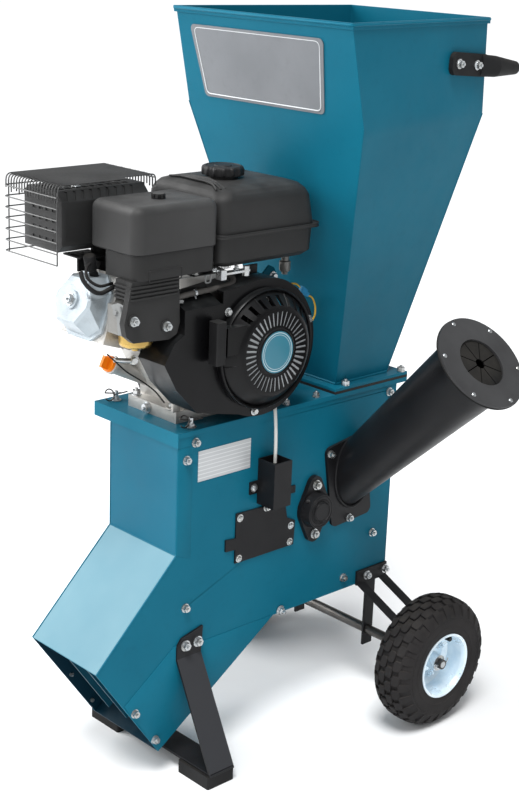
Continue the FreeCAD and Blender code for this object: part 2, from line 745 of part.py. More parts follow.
def make_legs():
    """Bent front leg straps on both sides and the cross strap under the chute."""
    foot = dim("foot_height")
    far = dim("body_width")
    far_splay = 48
    pieces = []
    for face, outward, splay in ((0, -1, 78), (far, 1, far_splay)):
        top = prism([(3, face, 186), (50, face, 186), (53, face, 228), (12, face, 218), (3, face, 206)],
                    (0, 4 * outward, 0))
        edge = face + splay * outward
        slope = prism([(3, face, 186), (50, face, 186), (55, edge, foot), (7, edge, foot)],
                      (0, 4 * outward, 0))
        pieces.append(top.fuse(slope))
    cross = Part.makeBox(46, 82 + far + far_splay + 4, 4, Vector(8, -82, foot))
    frame = cross.fuse(pieces).cut(bolt_holes(LEG_BOLTS)).removeSplitter()
    for y in (-52, far + far_splay - 26):
        hex_bolt((36, y, foot + 4), (0, 0, 1), 10.0, 7.5)
    for y, outward in ((-4, -1), (far + 4, 1)):
        for x, z in LEG_BOLTS:
            hex_bolt((x, y, z), (0, outward, 0), 11.0, 8.5, 3.2)
    sub_part(feature(frame), "leg_frame")
    feet = []
    for y in ("-80", "body_width - 20"):
        block = box(("52", "70", "foot_height"), ("4", y, "0"))
        feet.append(rounded(block, 3.0, lambda middle, run: abs(run.z) > 0.9))
    sub_part(group(feet), "rubber_feet")


def make_wheel_brackets():
    """Bracket each side: wall plate, inner hanger and two struts out to an outer hanger on the axle."""
    far = dim("body_width")
    x, axle_z = dim("wheel_x"), dim("wheel_radius")
    hole = dim("axle_radius") + 0.02
    brackets = []
    for mirrored in (False, True):
        pieces = [prism([(390, 0, 197), (462, 0, 197), (462, 0, 222), (390, 0, 222)], (0, -4, 0)),
                  Part.makeBox(22, 4, 199 - axle_z + 26, Vector(x - 11, -4, axle_z - 26)),
                  Part.makeBox(76, 4, 62, Vector(398, -98, 90))]
        for start in (392, 444):
            top = [(start, 0, 199), (start, -4, 199), (start + 14, -98, 143), (start + 14, -94, 143)]
            pieces.append(prism(top, (18, 0, 0)))
        bracket = pieces[0].fuse(pieces[1:])
        bracket = bracket.cut(Part.makeCylinder(hole, 200, Vector(x, -150, axle_z), Vector(0, 1, 0)))
        bracket = bracket.cut(bolt_holes(BRACKET_BOLTS)).removeSplitter()
        if mirrored:
            bracket = bracket.mirror(Vector(0, far / 2, 0), Vector(0, 1, 0))
        brackets.append(feature(bracket))
    sub_part(group(brackets), "wheel_brackets")
    for y, outward in ((-4, -1), (far + 4, 1)):
        for bolt_x, z in BRACKET_BOLTS:
            hex_bolt((bolt_x, y, z), (0, outward, 0), 10.0, 7.5, 3.2)


def make_axle():
    ends = dim("wheel_offset") + 30
    span = dim("body_width") + 2 * ends
    sub_part(cylinder("axle_radius", "body_width + 2*wheel_offset + 60",
                      ("wheel_x", "-30 - wheel_offset", "wheel_radius")), "axle")
    retainers = []
    for side in (-1, 1):
        y = dim("body_width") / 2 + side * (span / 2 - 8)
        washer = Part.makeCylinder(13, 2, Vector(0, 0, 0)).cut(Part.makeCylinder(8.03, 2))
        washer.Placement = Placement(Vector(dim("wheel_x"), y - side * 2, dim("wheel_radius")),
                                     Rotation(Vector(0, 0, 1), Vector(0, side, 0)))
        retainers.append(feature(washer))
    sub_part(group(retainers), "axle_washers")


def make_wheels():
    """Pneumatic tyres on two-part pressed rims with a bearing hub."""
    radius = "wheel_radius"
    bore = "axle_radius + running_gap"
    tread = [(radius + " - 9", "-29"), (radius + " - 2.6", "-20"), (radius, "-9")]
    side_wall = [("50.4", "-24"), ("51.5", "-31.2"), ("54.5", "-33.2"), ("64", "-35.2"), ("76", "-35.5"),
                 ("88", "-34")]
    lower = side_wall + tread
    tyre = lower + [(r, height.replace("-", "")) for r, height in reversed(lower)]
    seat = [("47.4", "-26"), ("50", "-34.2"), ("54.2", "-35.2"), ("54.2", "-33.6"), ("51.2", "-31.6"),
            ("50.2", "-24")]
    hub = [(bore, "-20"), ("14", "-20"), ("14", "2")]
    dish = [("22", "2"), ("28", "7"), ("40", "7"), ("47.4", "1")]
    back = [("47.4", "5"), ("40", "10"), ("28", "10"), ("22", "5"), ("14", "5"), ("14", "20"), (bore, "20")]
    rim = hub + dish + seat + [(r, height.replace("-", "")) for r, height in reversed(seat)] + back
    for side, label, y in ((1, "near", "-wheel_offset"), (-1, "far", "body_width + wheel_offset")):
        place = ("wheel_x", y, radius)
        turned("tyre_" + label, tyre, place)
        turned("rim_" + label, rim, place, (0, side, 0))


# ---------------------------------------------------------------- engine

BANK_ANGLE = 18.2               # slope of the cylinder above the horizontal
BANK_Y = 92.0                   # middle of the cylinder along the crankshaft
FILLER_Y = 134.0                # oil filler neck along the crankshaft
BOWL_X = -65.0                  # float bowl under the carburettor
ELBOW_BOLTS = {-97: 725.0, -40: 710.0}   # height of each bolt through the air duct's plate, by its X


def bank_placement(distance):
    """Frame on the cylinder's axis: local Z runs away from the crankshaft, local Y along the machine's Y."""
    angle = math.radians(BANK_ANGLE)
    away = Vector(-math.cos(angle), 0, math.sin(angle))
    base = Vector(dim("crank_x"), BANK_Y, dim("crank_z")) + away * distance
    across = Vector(0, 1, 0).cross(away)
    return Placement(base, Rotation(across, Vector(0, 1, 0), away, "ZYX"))


def bank_box(size, near_end):
    """Box centred on the cylinder's axis: (height, width along Y, length), starting at a distance."""
    height, width, length = size
    solid = Part.makeBox(height, width, length, Vector(-height / 2, -width / 2, 0))
    solid.Placement = bank_placement(near_end)
    return solid


def make_crankcase():
    x, z = dim("crank_x"), dim("crank_z")
    foot = Part.makeBox(200, 111, 18, Vector(25, 36, 542))
    body = prism([(46, 40, 560), (206, 40, 560), (212, 40, 700), (190, 40, 732), (100, 40, 738), (22, 40, 700),
                  (6, 40, 656), (10, 40, 632), (28, 40, 598), (46, 40, 574)], (0, 106, 0))
    cover = Part.makeCylinder(78, 20, Vector(x, 146, z), Vector(0, 1, 0))
    boss = Part.makeCylinder(24, 8, Vector(x, 166, z), Vector(0, 1, 0))
    neck = rod((50, FILLER_Y, 584), (-18, FILLER_Y, 616), 12)
    solid = foot.fuse([body, cover, boss, neck])
    room = Part.makeCylinder(62, 84, Vector(x, 56, z), Vector(0, 1, 0))
    bore_radius = dim("crank_radius") + dim("running_gap")
    bore = Part.makeCylinder(bore_radius, 180, Vector(x, 30, z), Vector(0, 1, 0))
    filler = rod((30, FILLER_Y, 593.4), (-20, FILLER_Y, 616.94), 8)
    stud_hole = bank_box((99, 99, 140), 84)
    solid = solid.cut([room, bore, filler, stud_hole]).removeSplitter()
    sub_part(feature(solid), "crankcase")
    for bolt_x in (33, 216.5):
        for y in (54, 138):
            hex_bolt((bolt_x, y, 560), (0, 0, 1), 11.0, 8.0)
    hex_bolt((25, 101.6, 551), (-1, 0, 0), 11.0, 8.5)


def make_cylinder():
    """Finned cylinder and head."""
    barrel = bank_box((78, 78, 122), 84.5)
    solid = barrel
    for index in range(11):
        solid = solid.fuse(bank_box((97, 94, 3.2), 88 + 11 * index))
    solid = solid.fuse(bank_box((97, 96, 30), 206.5)).removeSplitter()
    sub_part(feature(solid), "cylinder")


def make_rocker_cover():
    """Pressed cover: a flat flange, tapering sides and a hexagonal face with a boss for its bolt."""
    flange_outline = [(45, -24), (45, 26), (26, 49), (-30, 49), (-50, 28), (-50, -20), (-34, -42), (22, -42)]
    foot_outline = [(40, -22), (40, 24), (22, 44), (-26, 44), (-45, 25), (-45, -18), (-30, -37), (18, -37)]
    face_outline = [(35, -17), (35, 17), (8, 39), (-4, 42), (-33, 27), (-33, -17), (-5, -37), (6, -37)]
    flange = prism([(u, v, 0) for u, v in flange_outline], (0, 0, 4))
    skirt = loft([[(u, v, 4) for u, v in foot_outline], [(u, v, 30) for u, v in face_outline],
                  [(0.9 * u, 0.9 * v, 34) for u, v in face_outline]])
    boss = Part.makeCylinder(13, 3, Vector(0, 0, 34))
    solid = flange.fuse([skirt, boss]).removeSplitter()
    solid.Placement = bank_placement(236.5)
    sub_part(feature(solid), "rocker_cover")
    away = bank_placement(0).Rotation.multVec(Vector(0, 0, 1))
    hex_bolt(tuple(bank_placement(273.5).Base), tuple(away), 12.0, 9.0)


def make_silencer():
    """Silencer box with its pierced heat shield and port pipe, and the outline of the wire guard."""
    body = Part.makeBox(152, 88, 84, Vector(-138, 90, 802))
    body = body.makeFillet(10.0, [edge for edge in body.Edges if abs(edge.tangentAt(0).z) > 0.9])
    pipe = rod((-52, 118, 803), (-52, 118, 776), 13)
    flange = Part.makeBox(12, 44, 29, Vector(48.5, 4, 0))
    flange.Placement = bank_placement(206.5)
    solid = body.fuse([pipe, flange])
    for row in range(4):
        for column in range(5):
            spot = Vector(-139, 102 + 15 * column, 816 + 18 * row)
            solid = solid.cut(Part.makeCylinder(3.2, 5, spot, Vector(1, 0, 0)))
    sub_part(feature(solid.removeSplitter()), "silencer")
    roof = Part.makeBox(182, 128, 2, Vector(-155, 77, 897))
    front = Part.makeBox(2, 128, 110, Vector(-155, 77, 789))
    side = Part.makeBox(182, 2, 110, Vector(-155, 203, 789))
    lip = Part.makeBox(2, 116, 18, Vector(25, 89, 881))
    sub_part(feature(roof.fuse([front, side, lip]).removeSplitter()), "silencer_guard")


def edges_along(solid, axis):
    """Straight edges of a solid that run along one axis."""
    return [edge for edge in solid.Edges if abs(getattr(edge.tangentAt(edge.FirstParameter), axis)) > 0.99]


def make_air_cleaner():
    """Air cleaner: lid with its crown nut, and the box whose ribbed duct ends in the carburettor's plate."""
    cover = Part.makeBox(148, 107, 63, Vector(-97, -20, 814))
    cover = cover.makeFillet(16.0, edges_along(cover, "z"))
    top = [edge for edge in cover.Edges if edge.valueAt(edge.FirstParameter).z > 876.9 and
           edge.valueAt(edge.LastParameter).z > 876.9]
    cover = cover.makeFillet(13.0, top)
    knob = Part.makeCylinder(8, 7, Vector(-20, 30, 877))
    sub_part(feature(cover.fuse(knob).removeSplitter()), "air_cleaner_cover")
    base = Part.makeBox(143, 76, 36, Vector(-95, -18, 778))
    base = base.makeFillet(14.5, edges_along(base, "z"))
    duct = Part.makeBox(80, 35, 26, Vector(-100, -15, 752))
    plate_outline = [(-100, 778), (-107, 742), (-112, 722), (-108, 704), (-96, 694), (-34, 690), (-20, 696),
                     (-15, 712), (-18, 778)]
    solid = base.fuse([duct, prism([(x, -15, z) for x, z in plate_outline], (0, 10.5, 0))])
    for index in range(4):
        rib = Part.makeBox(85, 40, 2.6, Vector(-102.5, -17.5, 769 - 5.5 * index))
        solid = solid.fuse(rib.makeFillet(5.0, edges_along(rib, "z")))
    for x in (-97, -40):
        solid = solid.fuse(Part.makeCylinder(9, 1.5, Vector(x, -15, ELBOW_BOLTS[x]), Vector(0, -1, 0)))
    sub_part(feature(solid.removeSplitter()), "air_cleaner_base")
    for x, z in ELBOW_BOLTS.items():
        hex_bolt((x, -16.5, z), (0, -1, 0), 9.0, 7.0)


def make_carburettor():
    body = Part.makeBox(60, 41, 40, Vector(-100, -3.9, 700))
    throat = Part.makeCylinder(16, 6.8, Vector(-70, 37.1, 722), Vector(0, 1, 0))
    collar = Part.makeCylinder(22, 4, Vector(BOWL_X, 19.5, 696))
    solid = body.fuse([throat, collar])
    sub_part(feature(solid.removeSplitter()), "carburettor")
    bowl = Part.makeCylinder(24, 18, Vector(BOWL_X, 19.5, 678))
    lower = [edge for edge in bowl.Edges if edge.BoundBox.ZMax < 678.1]
    bowl = bowl.makeFillet(7.0, lower)
    nut = Part.makeCylinder(5, 6, Vector(BOWL_X, 19.5, 672))
    sub_part(feature(bowl.fuse(nut).removeSplitter()), "float_bowl")


def rounded_ring(x_low, x_high, y_low, y_high, radius, z):
    """Level rectangle with rounded corners."""
    half_turn = math.radians(45)
    edges = []
    corners = [(x_high, y_low, -1), (x_high, y_high, 0), (x_low, y_high, 1), (x_low, y_low, 2)]
    arcs = []
    for corner_x, corner_y, quarter in corners:
        centre_x = corner_x - radius if corner_x == x_high else corner_x + radius
        centre_y = corner_y - radius if corner_y == y_high else corner_y + radius
        spots = []
        for step in range(3):
            angle = quarter * 2 * half_turn + step * half_turn
            spots.append(Vector(centre_x + radius * math.cos(angle), centre_y + radius * math.sin(angle), z))
        arcs.append(spots)
    for index, spots in enumerate(arcs):
        edges.append(Part.Arc(*spots).toShape())
        edges.append(Part.makeLine(spots[2], arcs[(index + 1) % 4][0]))
    return Part.Wire(edges)


def make_fuel_tank():
    """Two pressed halves joined at a seam flange, with the filler neck under the cap."""
    lower = [(68, 232, -4, 142, 12, 776), (58, 241, -14, 152, 17, 784), (56, 243, -16, 154, 18, 820)]
    upper = [(56, 244, -17, 155, 18, 823), (57, 236, -15, 152, 19, 866), (60, 232, -11, 149, 20, 875),
             (66, 225, -3, 143, 20, 882), (76, 212, 10, 132, 18, 886), (90, 192, 28, 116, 14, 889)]
    halves = [Part.makeLoft([rounded_ring(*ring) for ring in rings], True, True) for rings in (lower, upper)]
    seam = Part.Face(rounded_ring(52, 252, -22, 160, 20, 820)).extrude(Vector(0, 0, 3))
    neck = Part.makeCylinder(22, 6.2, Vector(125, 62, 886.5))
    sub_part(feature(seam.fuse(halves + [neck]).removeSplitter()), "fuel_tank")
    profile = [("0", "0"), ("29", "0"), ("31.5", "2.5"), ("31.5", "10"), ("28.5", "14.5"), ("0", "15.5")]
    turned("fuel_cap", profile, ("125", "62", "893"), (0, 0, 1))


def make_shroud():
    """Pressed fan shroud with a duct towards the cylinder, and the pull-start cover in front of it."""
    x, z = dim("crank_x"), dim("crank_z")

    def form(inset, y_low, y_high):
        depth = y_high - y_low
        drum = Part.makeCylinder(103 - inset, depth, Vector(x, y_low, z), Vector(0, 1, 0))
        duct = [(x, z + 103 - inset), (40, 744 - inset), (-12 + inset, 738 - inset), (-12 + inset, 694 - inset),
                (-30 + inset, 684), (-47 + inset, 656), (-25 + inset, 617), (14, 576 + inset),
                (x, z - 103 + inset)]
        lobe = prism([(px, y_low, pz) for px, pz in duct], (0, depth, 0))
        slope = prism([(-70, -40, 719.8 - inset), (-70, 24, 749 - inset), (-70, 24, 790), (-70, -40, 790)],
                      (128 - inset, 0, 0))
        return drum.fuse(lobe.cut(slope))

    outer = form(0, -22, 35.8)
    inner = form(2.5, -19.5, 35.9)
    opening = Part.makeCylinder(82, 20, Vector(x, -30, z), Vector(0, 1, 0))
    sub_part(feature(outer.cut([inner, opening]).removeSplitter()), "fan_shroud")

    cover = Part.makeCylinder(90, 6, Vector(x, -28, z), Vector(0, 1, 0))
    dome = Part.makeCone(86, 68, 20, Vector(x, -28, z), Vector(0, -1, 0))
    nose = Part.makeCone(68, 62, 3, Vector(x, -48, z), Vector(0, -1, 0))
    boss = Part.makeBox(36, 18, 40, Vector(47, -46, z + 7))
    solid = cover.fuse([dome, nose, boss])
    room = Part.makeCone(80, 65, 20, Vector(x, -25.8, z), Vector(0, -1, 0))
    behind = Part.makeCylinder(80, 6, Vector(x, -26, z), Vector(0, 1, 0))
    solid = solid.cut([room, behind])
    slots = []
    for index in range(40):
        slot = Part.makeBox(21, 3.4, 12, Vector(38.5, -1.7, 0))
        slot.Placement = Placement(Vector(x, -44, z), Rotation(Vector(0, 0, 1), Vector(0, -1, 0)).multiply(
            Rotation(Vector(0, 0, 1), 9.0 * index)))
        slots.append(slot)
    for index in range(9):
        slot = Part.makeBox(13, 7, 30, Vector(67, -3.5, 0))
        slot.Placement = Placement(Vector(x, -20, z), Rotation(Vector(0, 0, 1), Vector(0, -1, 0)).multiply(
            Rotation(Vector(0, 0, 1), 30.0 + 13.0 * index)))
        slots.append(slot)
    rope_hole = rod((40, -37, z + 27), (86, -37, z + 27), 3.2)
    sub_part(feature(solid.cut(slots + [rope_hole]).removeSplitter()), "recoil_cover")
    disc = cylinder(31.0, 1.5, ("crank_x", "-51", "crank_z"), (0, -1, 0))
    sub_part(disc, "recoil_disc")

    grip = Part.makeBox(18, 20, 62, Vector(26, -48, z - 4))
    grip = grip.makeFillet(3.0, edges_along(grip, "z"))
    rope = rod((44, -37, z + 27), (76, -37, z + 27), 2.4)
    sub_part(feature(grip.fuse(rope).removeSplitter()), "starter_handle")


def make_crankshaft():
    """Crankshaft with its web, and the flywheel fan behind the pull-start cover."""
    x, z = dim("crank_x"), dim("crank_z")
    radius = dim("crank_radius")
    shaft = Part.makeCylinder(radius, dim("belt_y") + 16 + 20, Vector(x, -16, z), Vector(0, 1, 0))
    webs = Part.makeCylinder(46, 14, Vector(x, 72, z), Vector(0, 1, 0))
    webs = webs.fuse(Part.makeCylinder(46, 14, Vector(x, 102, z), Vector(0, 1, 0)))
    fan = Part.makeCylinder(74, 10, Vector(x, 16, z), Vector(0, 1, 0))
    hub = Part.makeCylinder(40, 28, Vector(x, -12, z), Vector(0, 1, 0))
    blades = []
    for index in range(16):
        blade = Part.makeBox(34, 3, 22, Vector(38, -1.5, 0))
        blade.Placement = Placement(Vector(x, 16.5, z), Rotation(Vector(0, 0, 1), Vector(0, -1, 0)).multiply(
            Rotation(Vector(0, 0, 1), 22.5 * index)))
        blades.append(blade)
    sub_part(feature(shaft.fuse([webs, fan, hub] + blades).removeSplitter()), "crankshaft")


def make_controls():
    """Dipstick, choke, fuel and throttle levers."""
    lean = (-0.9048, 0, 0.4258)
    cap_start = ("-19.5", str(FILLER_Y), "616.7")
    stick = cylinder(4.0, 34.0, ("11.2606", str(FILLER_Y), "602.2228"), lean)
    head = cylinder(12.0, 6.0, cap_start, lean)
    grip = doc.addObject("Part::Box", "Grip")
    grip.Length, grip.Width, grip.Height = 18.0, 5.0, 12.0
    turn = Rotation(Vector(0, 0, 1), Vector(*lean))
    corner = Vector(-19.5, FILLER_Y, 616.7) + turn.multVec(Vector(-9, -2.5, 5))
    grip.Placement = Placement(Vector(0, 0, 0), turn)
    put(grip, tuple("%.4f" % value for value in corner), None)
    grip.Placement = Placement(grip.Placement.Base, turn)
    sub_part(fuse([stick, head, grip]), "dipstick")

    for label, y, z, reach in (("choke_lever", 19.5, 730.0, 14.0), ("fuel_lever", 19.5, 706.0, 12.0)):
        shaft = rod((-39.8, y, z), (-18, y, z), 3.0)
        if label == "fuel_lever":
            shaft = rod((-39.8, y, z), (-30, y, z), 3.0)
        start_x = -22.0 if label == "choke_lever" else -34.0
        blade = Part.makeBox(4, 6, reach + 6, Vector(start_x, y - 3, z - 3))
        blade = blade.fuse(Part.makeBox(10, 10, 6, Vector(start_x - 3, y - 5, z + reach)))
        sub_part(feature(shaft.fuse(blade).removeSplitter()), label)

    post = rod((112, -8, 760), (112, -8, 774), 5.0)
    arm = Part.makeBox(52, 9, 3, Vector(64, -12.5, 766)).fuse(Part.makeBox(10, 12, 14, Vector(60, -14, 760)))
    sub_part(feature(post.fuse(arm).removeSplitter()), "throttle_lever")


# ---------------------------------------------------------------- build and write

def make_hex_bolts():
    for x, z in WALL_BOLTS:
        hex_bolt((x, 0, z), (0, -1, 0), 9.5, 7.0, 3.2)
        hex_bolt((x, dim("body_width"), z), (0, 1, 0), 9.5, 7.0, 3.2)
    flange_top = number("wall_top + deck_thick + gasket + flange")
    for x in (345.0, 475.0):
        for y in (4.6, 161.4):
            hex_bolt((x, y, flange_top), (0, 0, 1), 11.0, 6.5)
    for x in (220.0, 284.0):
        hex_bolt((x, 8.0, number("wall_top + deck_thick")), (0, 0, 1), 9.0, 6.0)
    sub_part(group([feature(solid) for solid in HEX_SOLIDS]), "hex_bolts")


MAKERS = [make_side_walls, make_front_wall, make_rear_wall, make_deck, make_chute_guard, make_outlet_screen,
          make_wall_furniture, make_switch_cable, make_hopper, make_hopper_foot, make_handles, make_badge,
          make_feed_tube, make_feed_mouth, make_bearings, make_rotor, make_pulleys, make_belt,
          make_belt_guard, make_legs, make_wheel_brackets, make_axle, make_wheels, make_crankcase,
          make_cylinder, make_rocker_cover, make_silencer, make_air_cleaner, make_carburettor,
          make_fuel_tank, make_shroud, make_crankshaft, make_controls, make_hex_bolts]

for make in MAKERS:
    make()
doc.recompute()

faults = [obj.Label for obj in doc.Objects if "Invalid" in obj.State or "Error" in obj.State]
faults += [obj.Label for obj in SUB_PARTS if obj.Shape.isNull() or not obj.Shape.isValid()]
if faults:
    raise SystemExit("faulty objects: " + ", ".join(faults))
for obj in SUB_PARTS:
    obj.Shape.exportStep("parts/%s.step" % obj.Label)
print("%d sub-parts written" % len(SUB_PARTS))
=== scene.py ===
from math import cos, pi, radians, sin, tan

import bmesh
import bpy
from mathutils import Matrix, Vector


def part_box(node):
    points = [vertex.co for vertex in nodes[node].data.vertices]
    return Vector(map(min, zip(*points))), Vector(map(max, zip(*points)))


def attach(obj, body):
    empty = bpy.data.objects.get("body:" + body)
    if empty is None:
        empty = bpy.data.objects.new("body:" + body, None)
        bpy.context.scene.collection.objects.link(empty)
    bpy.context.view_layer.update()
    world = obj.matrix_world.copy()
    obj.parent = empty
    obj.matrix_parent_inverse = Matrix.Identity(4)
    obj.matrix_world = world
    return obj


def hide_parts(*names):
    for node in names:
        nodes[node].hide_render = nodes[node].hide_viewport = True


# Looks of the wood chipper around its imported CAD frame.
# Lengths in this script are design millimetres: x from the housing's front wall, y from its near wall,
# z from the ground. Form.build() turns them into metres in the row frame.

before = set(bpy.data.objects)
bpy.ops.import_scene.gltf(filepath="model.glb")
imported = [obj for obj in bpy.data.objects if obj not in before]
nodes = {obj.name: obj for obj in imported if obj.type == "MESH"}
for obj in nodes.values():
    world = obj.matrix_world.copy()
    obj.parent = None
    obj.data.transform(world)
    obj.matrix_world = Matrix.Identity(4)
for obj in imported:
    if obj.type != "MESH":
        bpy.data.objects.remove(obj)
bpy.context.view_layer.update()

MM = 0.001
LIP_X = 144.5                       # how far the chute's lip stands in front of the front wall
wall_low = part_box("side_wall_near")[0]
FRONT = Vector((wall_low.x + LIP_X * MM, wall_low.y, 0.0))


def spot(x, y, z):
    """Design millimetres to metres in the row frame."""
    return FRONT + Vector((x, y, z)) * MM


def design(point):
    """Row-frame metres to design millimetres."""
    return (Vector(point) - FRONT) / MM


def node_box(*names):
    """Lowest and highest corner of some CAD nodes, in design millimetres."""
    boxes = [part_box(name) for name in names]
    low = design([min(box[0][axis] for box in boxes) for axis in range(3)])
    high = design([max(box[1][axis] for box in boxes) for axis in range(3)])
    return low, high


def node_middle(name):
    """Centre of a CAD node's box, in design millimetres."""
    low, high = node_box(name)
    return (low + high) / 2


def polar(radius, angle, y=0.0):
    """Vector at an angle in the upright x-z plane, with a y of its own."""
    return Vector((radius * cos(angle), y, radius * sin(angle)))


# ---------------------------------------------------------------- materials

PALE_DUST = (190, 196, 196)
POWDER_GRAIN = {"grain": 520.0, "depth": 0.10, "distance": 0.0003}
FULL_TURN = 6.2832
WAVE_UNIT = 20                      # radians the wave texture runs through per unit of scale and length

def srgb(red, green, blue):
    """Screen colour 0-255 as a linear colour."""
    linear = []
    for value in (red, green, blue):
        share = value / 255
        linear.append(share / 12.92 if share <= 0.04045 else ((share + 0.055) / 1.055) ** 2.4)
    return (*linear, 1.0)


class Finish:
    """One procedural material: two tones blended by noise, a grain bump and uneven roughness."""

    def __init__(self, name, tones, roughness, metallic=0.0, coat=0.0, coat_roughness=0.15, specular=0.5):
        self.material = bpy.data.materials.new(name)
        self.material.use_nodes = True
        self.nodes = self.material.node_tree.nodes
        self.links = self.material.node_tree.links
        self.shader = self.nodes["Principled BSDF"]
        self.shader.inputs["Metallic"].default_value = metallic
        self.shader.inputs["Coat Weight"].default_value = coat
        self.shader.inputs["Coat Roughness"].default_value = coat_roughness
        self.shader.inputs["Specular IOR Level"].default_value = specular
        self.roughness = roughness
        self.place = self.nodes.new("ShaderNodeTexCoord").outputs["Object"]
        self.colour = self.mix(self.noise(7.0, 3.0, (0.35, 0.65)), srgb(*tones[0]), srgb(*tones[1]))

    def noise(self, scale, detail, window, stretch=(1.0, 1.0, 1.0)):
        """Noise brought to 0..1 between the two ends of a window."""
        mapping = self.nodes.new("ShaderNodeMapping")
        mapping.inputs["Scale"].default_value = stretch
        texture = self.nodes.new("ShaderNodeTexNoise")
        texture.inputs["Scale"].default_value = scale
        texture.inputs["Detail"].default_value = detail
        self.links.new(self.place, mapping.inputs["Vector"])
        self.links.new(mapping.outputs["Vector"], texture.inputs["Vector"])
        return self.ranged(texture.outputs["Fac"], window, (0.0, 1.0))

    def ranged(self, value, window, result):
        node = self.nodes.new("ShaderNodeMapRange")
        node.inputs["From Min"].default_value, node.inputs["From Max"].default_value = window
        node.inputs["To Min"].default_value, node.inputs["To Max"].default_value = result
        self.links.new(value, node.inputs["Value"])
        return node.outputs["Result"]

    def math(self, operation, first, second):
        node = self.nodes.new("ShaderNodeMath")
        node.operation = operation
        for socket, value in zip(node.inputs, (first, second)):
            if isinstance(value, (int, float)):
                socket.default_value = value
            else:
                self.links.new(value, socket)
        return node.outputs["Value"]

    def mix(self, factor, first, second):
        node = self.nodes.new("ShaderNodeMix")
        node.data_type = "RGBA"
        self.links.new(factor, node.inputs["Factor"])
        for socket, value in zip((node.inputs[6], node.inputs[7]), (first, second)):
            if isinstance(value, tuple):
                socket.default_value = value
            else:
                self.links.new(value, socket)
        return node.outputs[2]

    def tint(self, factor, colour):
        """Lay another colour over what is there."""
        self.colour = self.mix(factor, self.colour, srgb(*colour))
        return self

    def wash(self, mask, amount, colour):
        """Lay a share of another colour over a mask."""
        return self.tint(self.math("MULTIPLY", mask, amount), colour)

    def upward(self, low, high):
        """Mask of the faces that look up."""
        return self.facing("Z", low, high)

    def facing(self, axis, low, high):
        """Mask of the faces whose normal leans along one axis of the frame."""
        geometry = self.nodes.new("ShaderNodeNewGeometry")
        split = self.nodes.new("ShaderNodeSeparateXYZ")
        self.links.new(geometry.outputs["Normal"], split.inputs["Vector"])
        return self.ranged(split.outputs[axis], (low, high), (0.0, 1.0))

    def dusty(self, colour, amount):
        """Thin dust that settles on upward faces, in clouds."""
        mask = self.math("MULTIPLY", self.upward(0.3, 1.0), self.noise(24.0, 6.0, (0.35, 0.75)))
        return self.wash(mask, amount, colour)

    def done(self, grain=900.0, depth=0.05, distance=0.0004, uneven=0.12, detail=2.0,
             stretch=(1.0, 1.0, 1.0)):
        """Join the colour, the bump and the roughness to the shader."""
        bump = self.nodes.new("ShaderNodeBump")
        bump.inputs["Strength"].default_value = depth
        bump.inputs["Distance"].default_value = distance
        self.links.new(self.noise(grain, detail, (0.25, 0.75), stretch), bump.inputs["Height"])
        self.links.new(bump.outputs["Normal"], self.shader.inputs["Normal"])
        spread = (self.roughness - uneven / 2, self.roughness + uneven / 2)
        self.links.new(self.ranged(self.noise(38.0, 5.0, (0.3, 0.7)), (0.0, 1.0), spread),
                       self.shader.inputs["Roughness"])
        self.links.new(self.colour, self.shader.inputs["Base Color"])
        return self.material


def paint(name, tones, roughness=0.4, specular=0.16, coat=0.05):
    """Powder coat with a faint orange peel."""
    finish = Finish(name, tones, roughness, coat=coat, coat_roughness=0.2, specular=specular)
    finish.wash(finish.noise(90.0, 8.0, (0.55, 0.8)), 0.10, [value * 0.6 for value in tones[0]])
    finish.dusty(PALE_DUST, 0.04)
    return finish.done(**POWDER_GRAIN)


def paint_with_painted_sheen(name, tones, sheen):
    """Powder coat whose upward sloping face carries a painted pale reflection, in clouds."""
    finish = Finish(name, tones, 0.4, specular=0.12)
    cloud = finish.ranged(finish.noise(5.0, 4.0, (0.1, 0.6)), (0.0, 1.0), (0.55, 0.9))
    # painted reflection: faces that look up take the pale sheen colour, in noise clouds
    finish.wash(finish.upward(0.45, 0.6), cloud, sheen)
    return finish.done(**POWDER_GRAIN)


def inward_shaded_paint(name, tones, axis, inner):
    """Powder coat that is darker and duller on the side facing against an axis: painted shade on a wall's
    inward face.
    """
    finish = Finish(name, tones, 0.4, specular=0.12)
    # painted shade: faces turned against the axis take the dark inner colour
    finish.tint(finish.facing(axis, -0.3, -0.5), inner)
    finish.dusty(PALE_DUST, 0.08)
    return finish.done(**POWDER_GRAIN)


def strap_paint_with_painted_highlight(name, tones, lit):
    """Black paint with a painted pale highlight where a strap leans outward."""
    finish = Finish(name, tones, 0.42, specular=0.16)
    highlight_mask = finish.math("MULTIPLY", finish.upward(0.2, 0.25), finish.upward(0.6, 0.5))
    # painted highlight: sloping faces of the strap take the pale lit colour
    finish.wash(highlight_mask, 0.85, lit)
    return finish.done(**POWDER_GRAIN)


def plastic(name, tones, roughness=0.5, grain=1300.0, depth=0.35):
    """Moulded plastic with a fine leather grain."""
    finish = Finish(name, tones, roughness, specular=0.2)
    finish.dusty((150, 150, 148), 0.12)
    return finish.done(grain=grain, depth=depth, distance=0.0003, detail=4.0)


def zinc(name, tones, tarnish, roughness=0.28, metallic=0.9):
    """Plated steel: cool and warm patches with fine drawn lines."""
    finish = Finish(name, tones, roughness, metallic=metallic)
    finish.wash(finish.noise(60.0, 6.0, (0.45, 0.8)), 0.5, tarnish)
    return finish.done(grain=700.0, depth=0.08, distance=0.0002, uneven=0.2, stretch=(1.0, 1.0, 6.0))


def cast(name, tones, roughness=0.45, metallic=0.75):
    """Sand-cast metal under a thin lacquer."""
    finish = Finish(name, tones, roughness, metallic=metallic)
    finish.wash(finish.noise(45.0, 8.0, (0.5, 0.85)), 0.45, (92, 90, 86))
    return finish.done(grain=420.0, depth=0.4, distance=0.0005, detail=6.0)


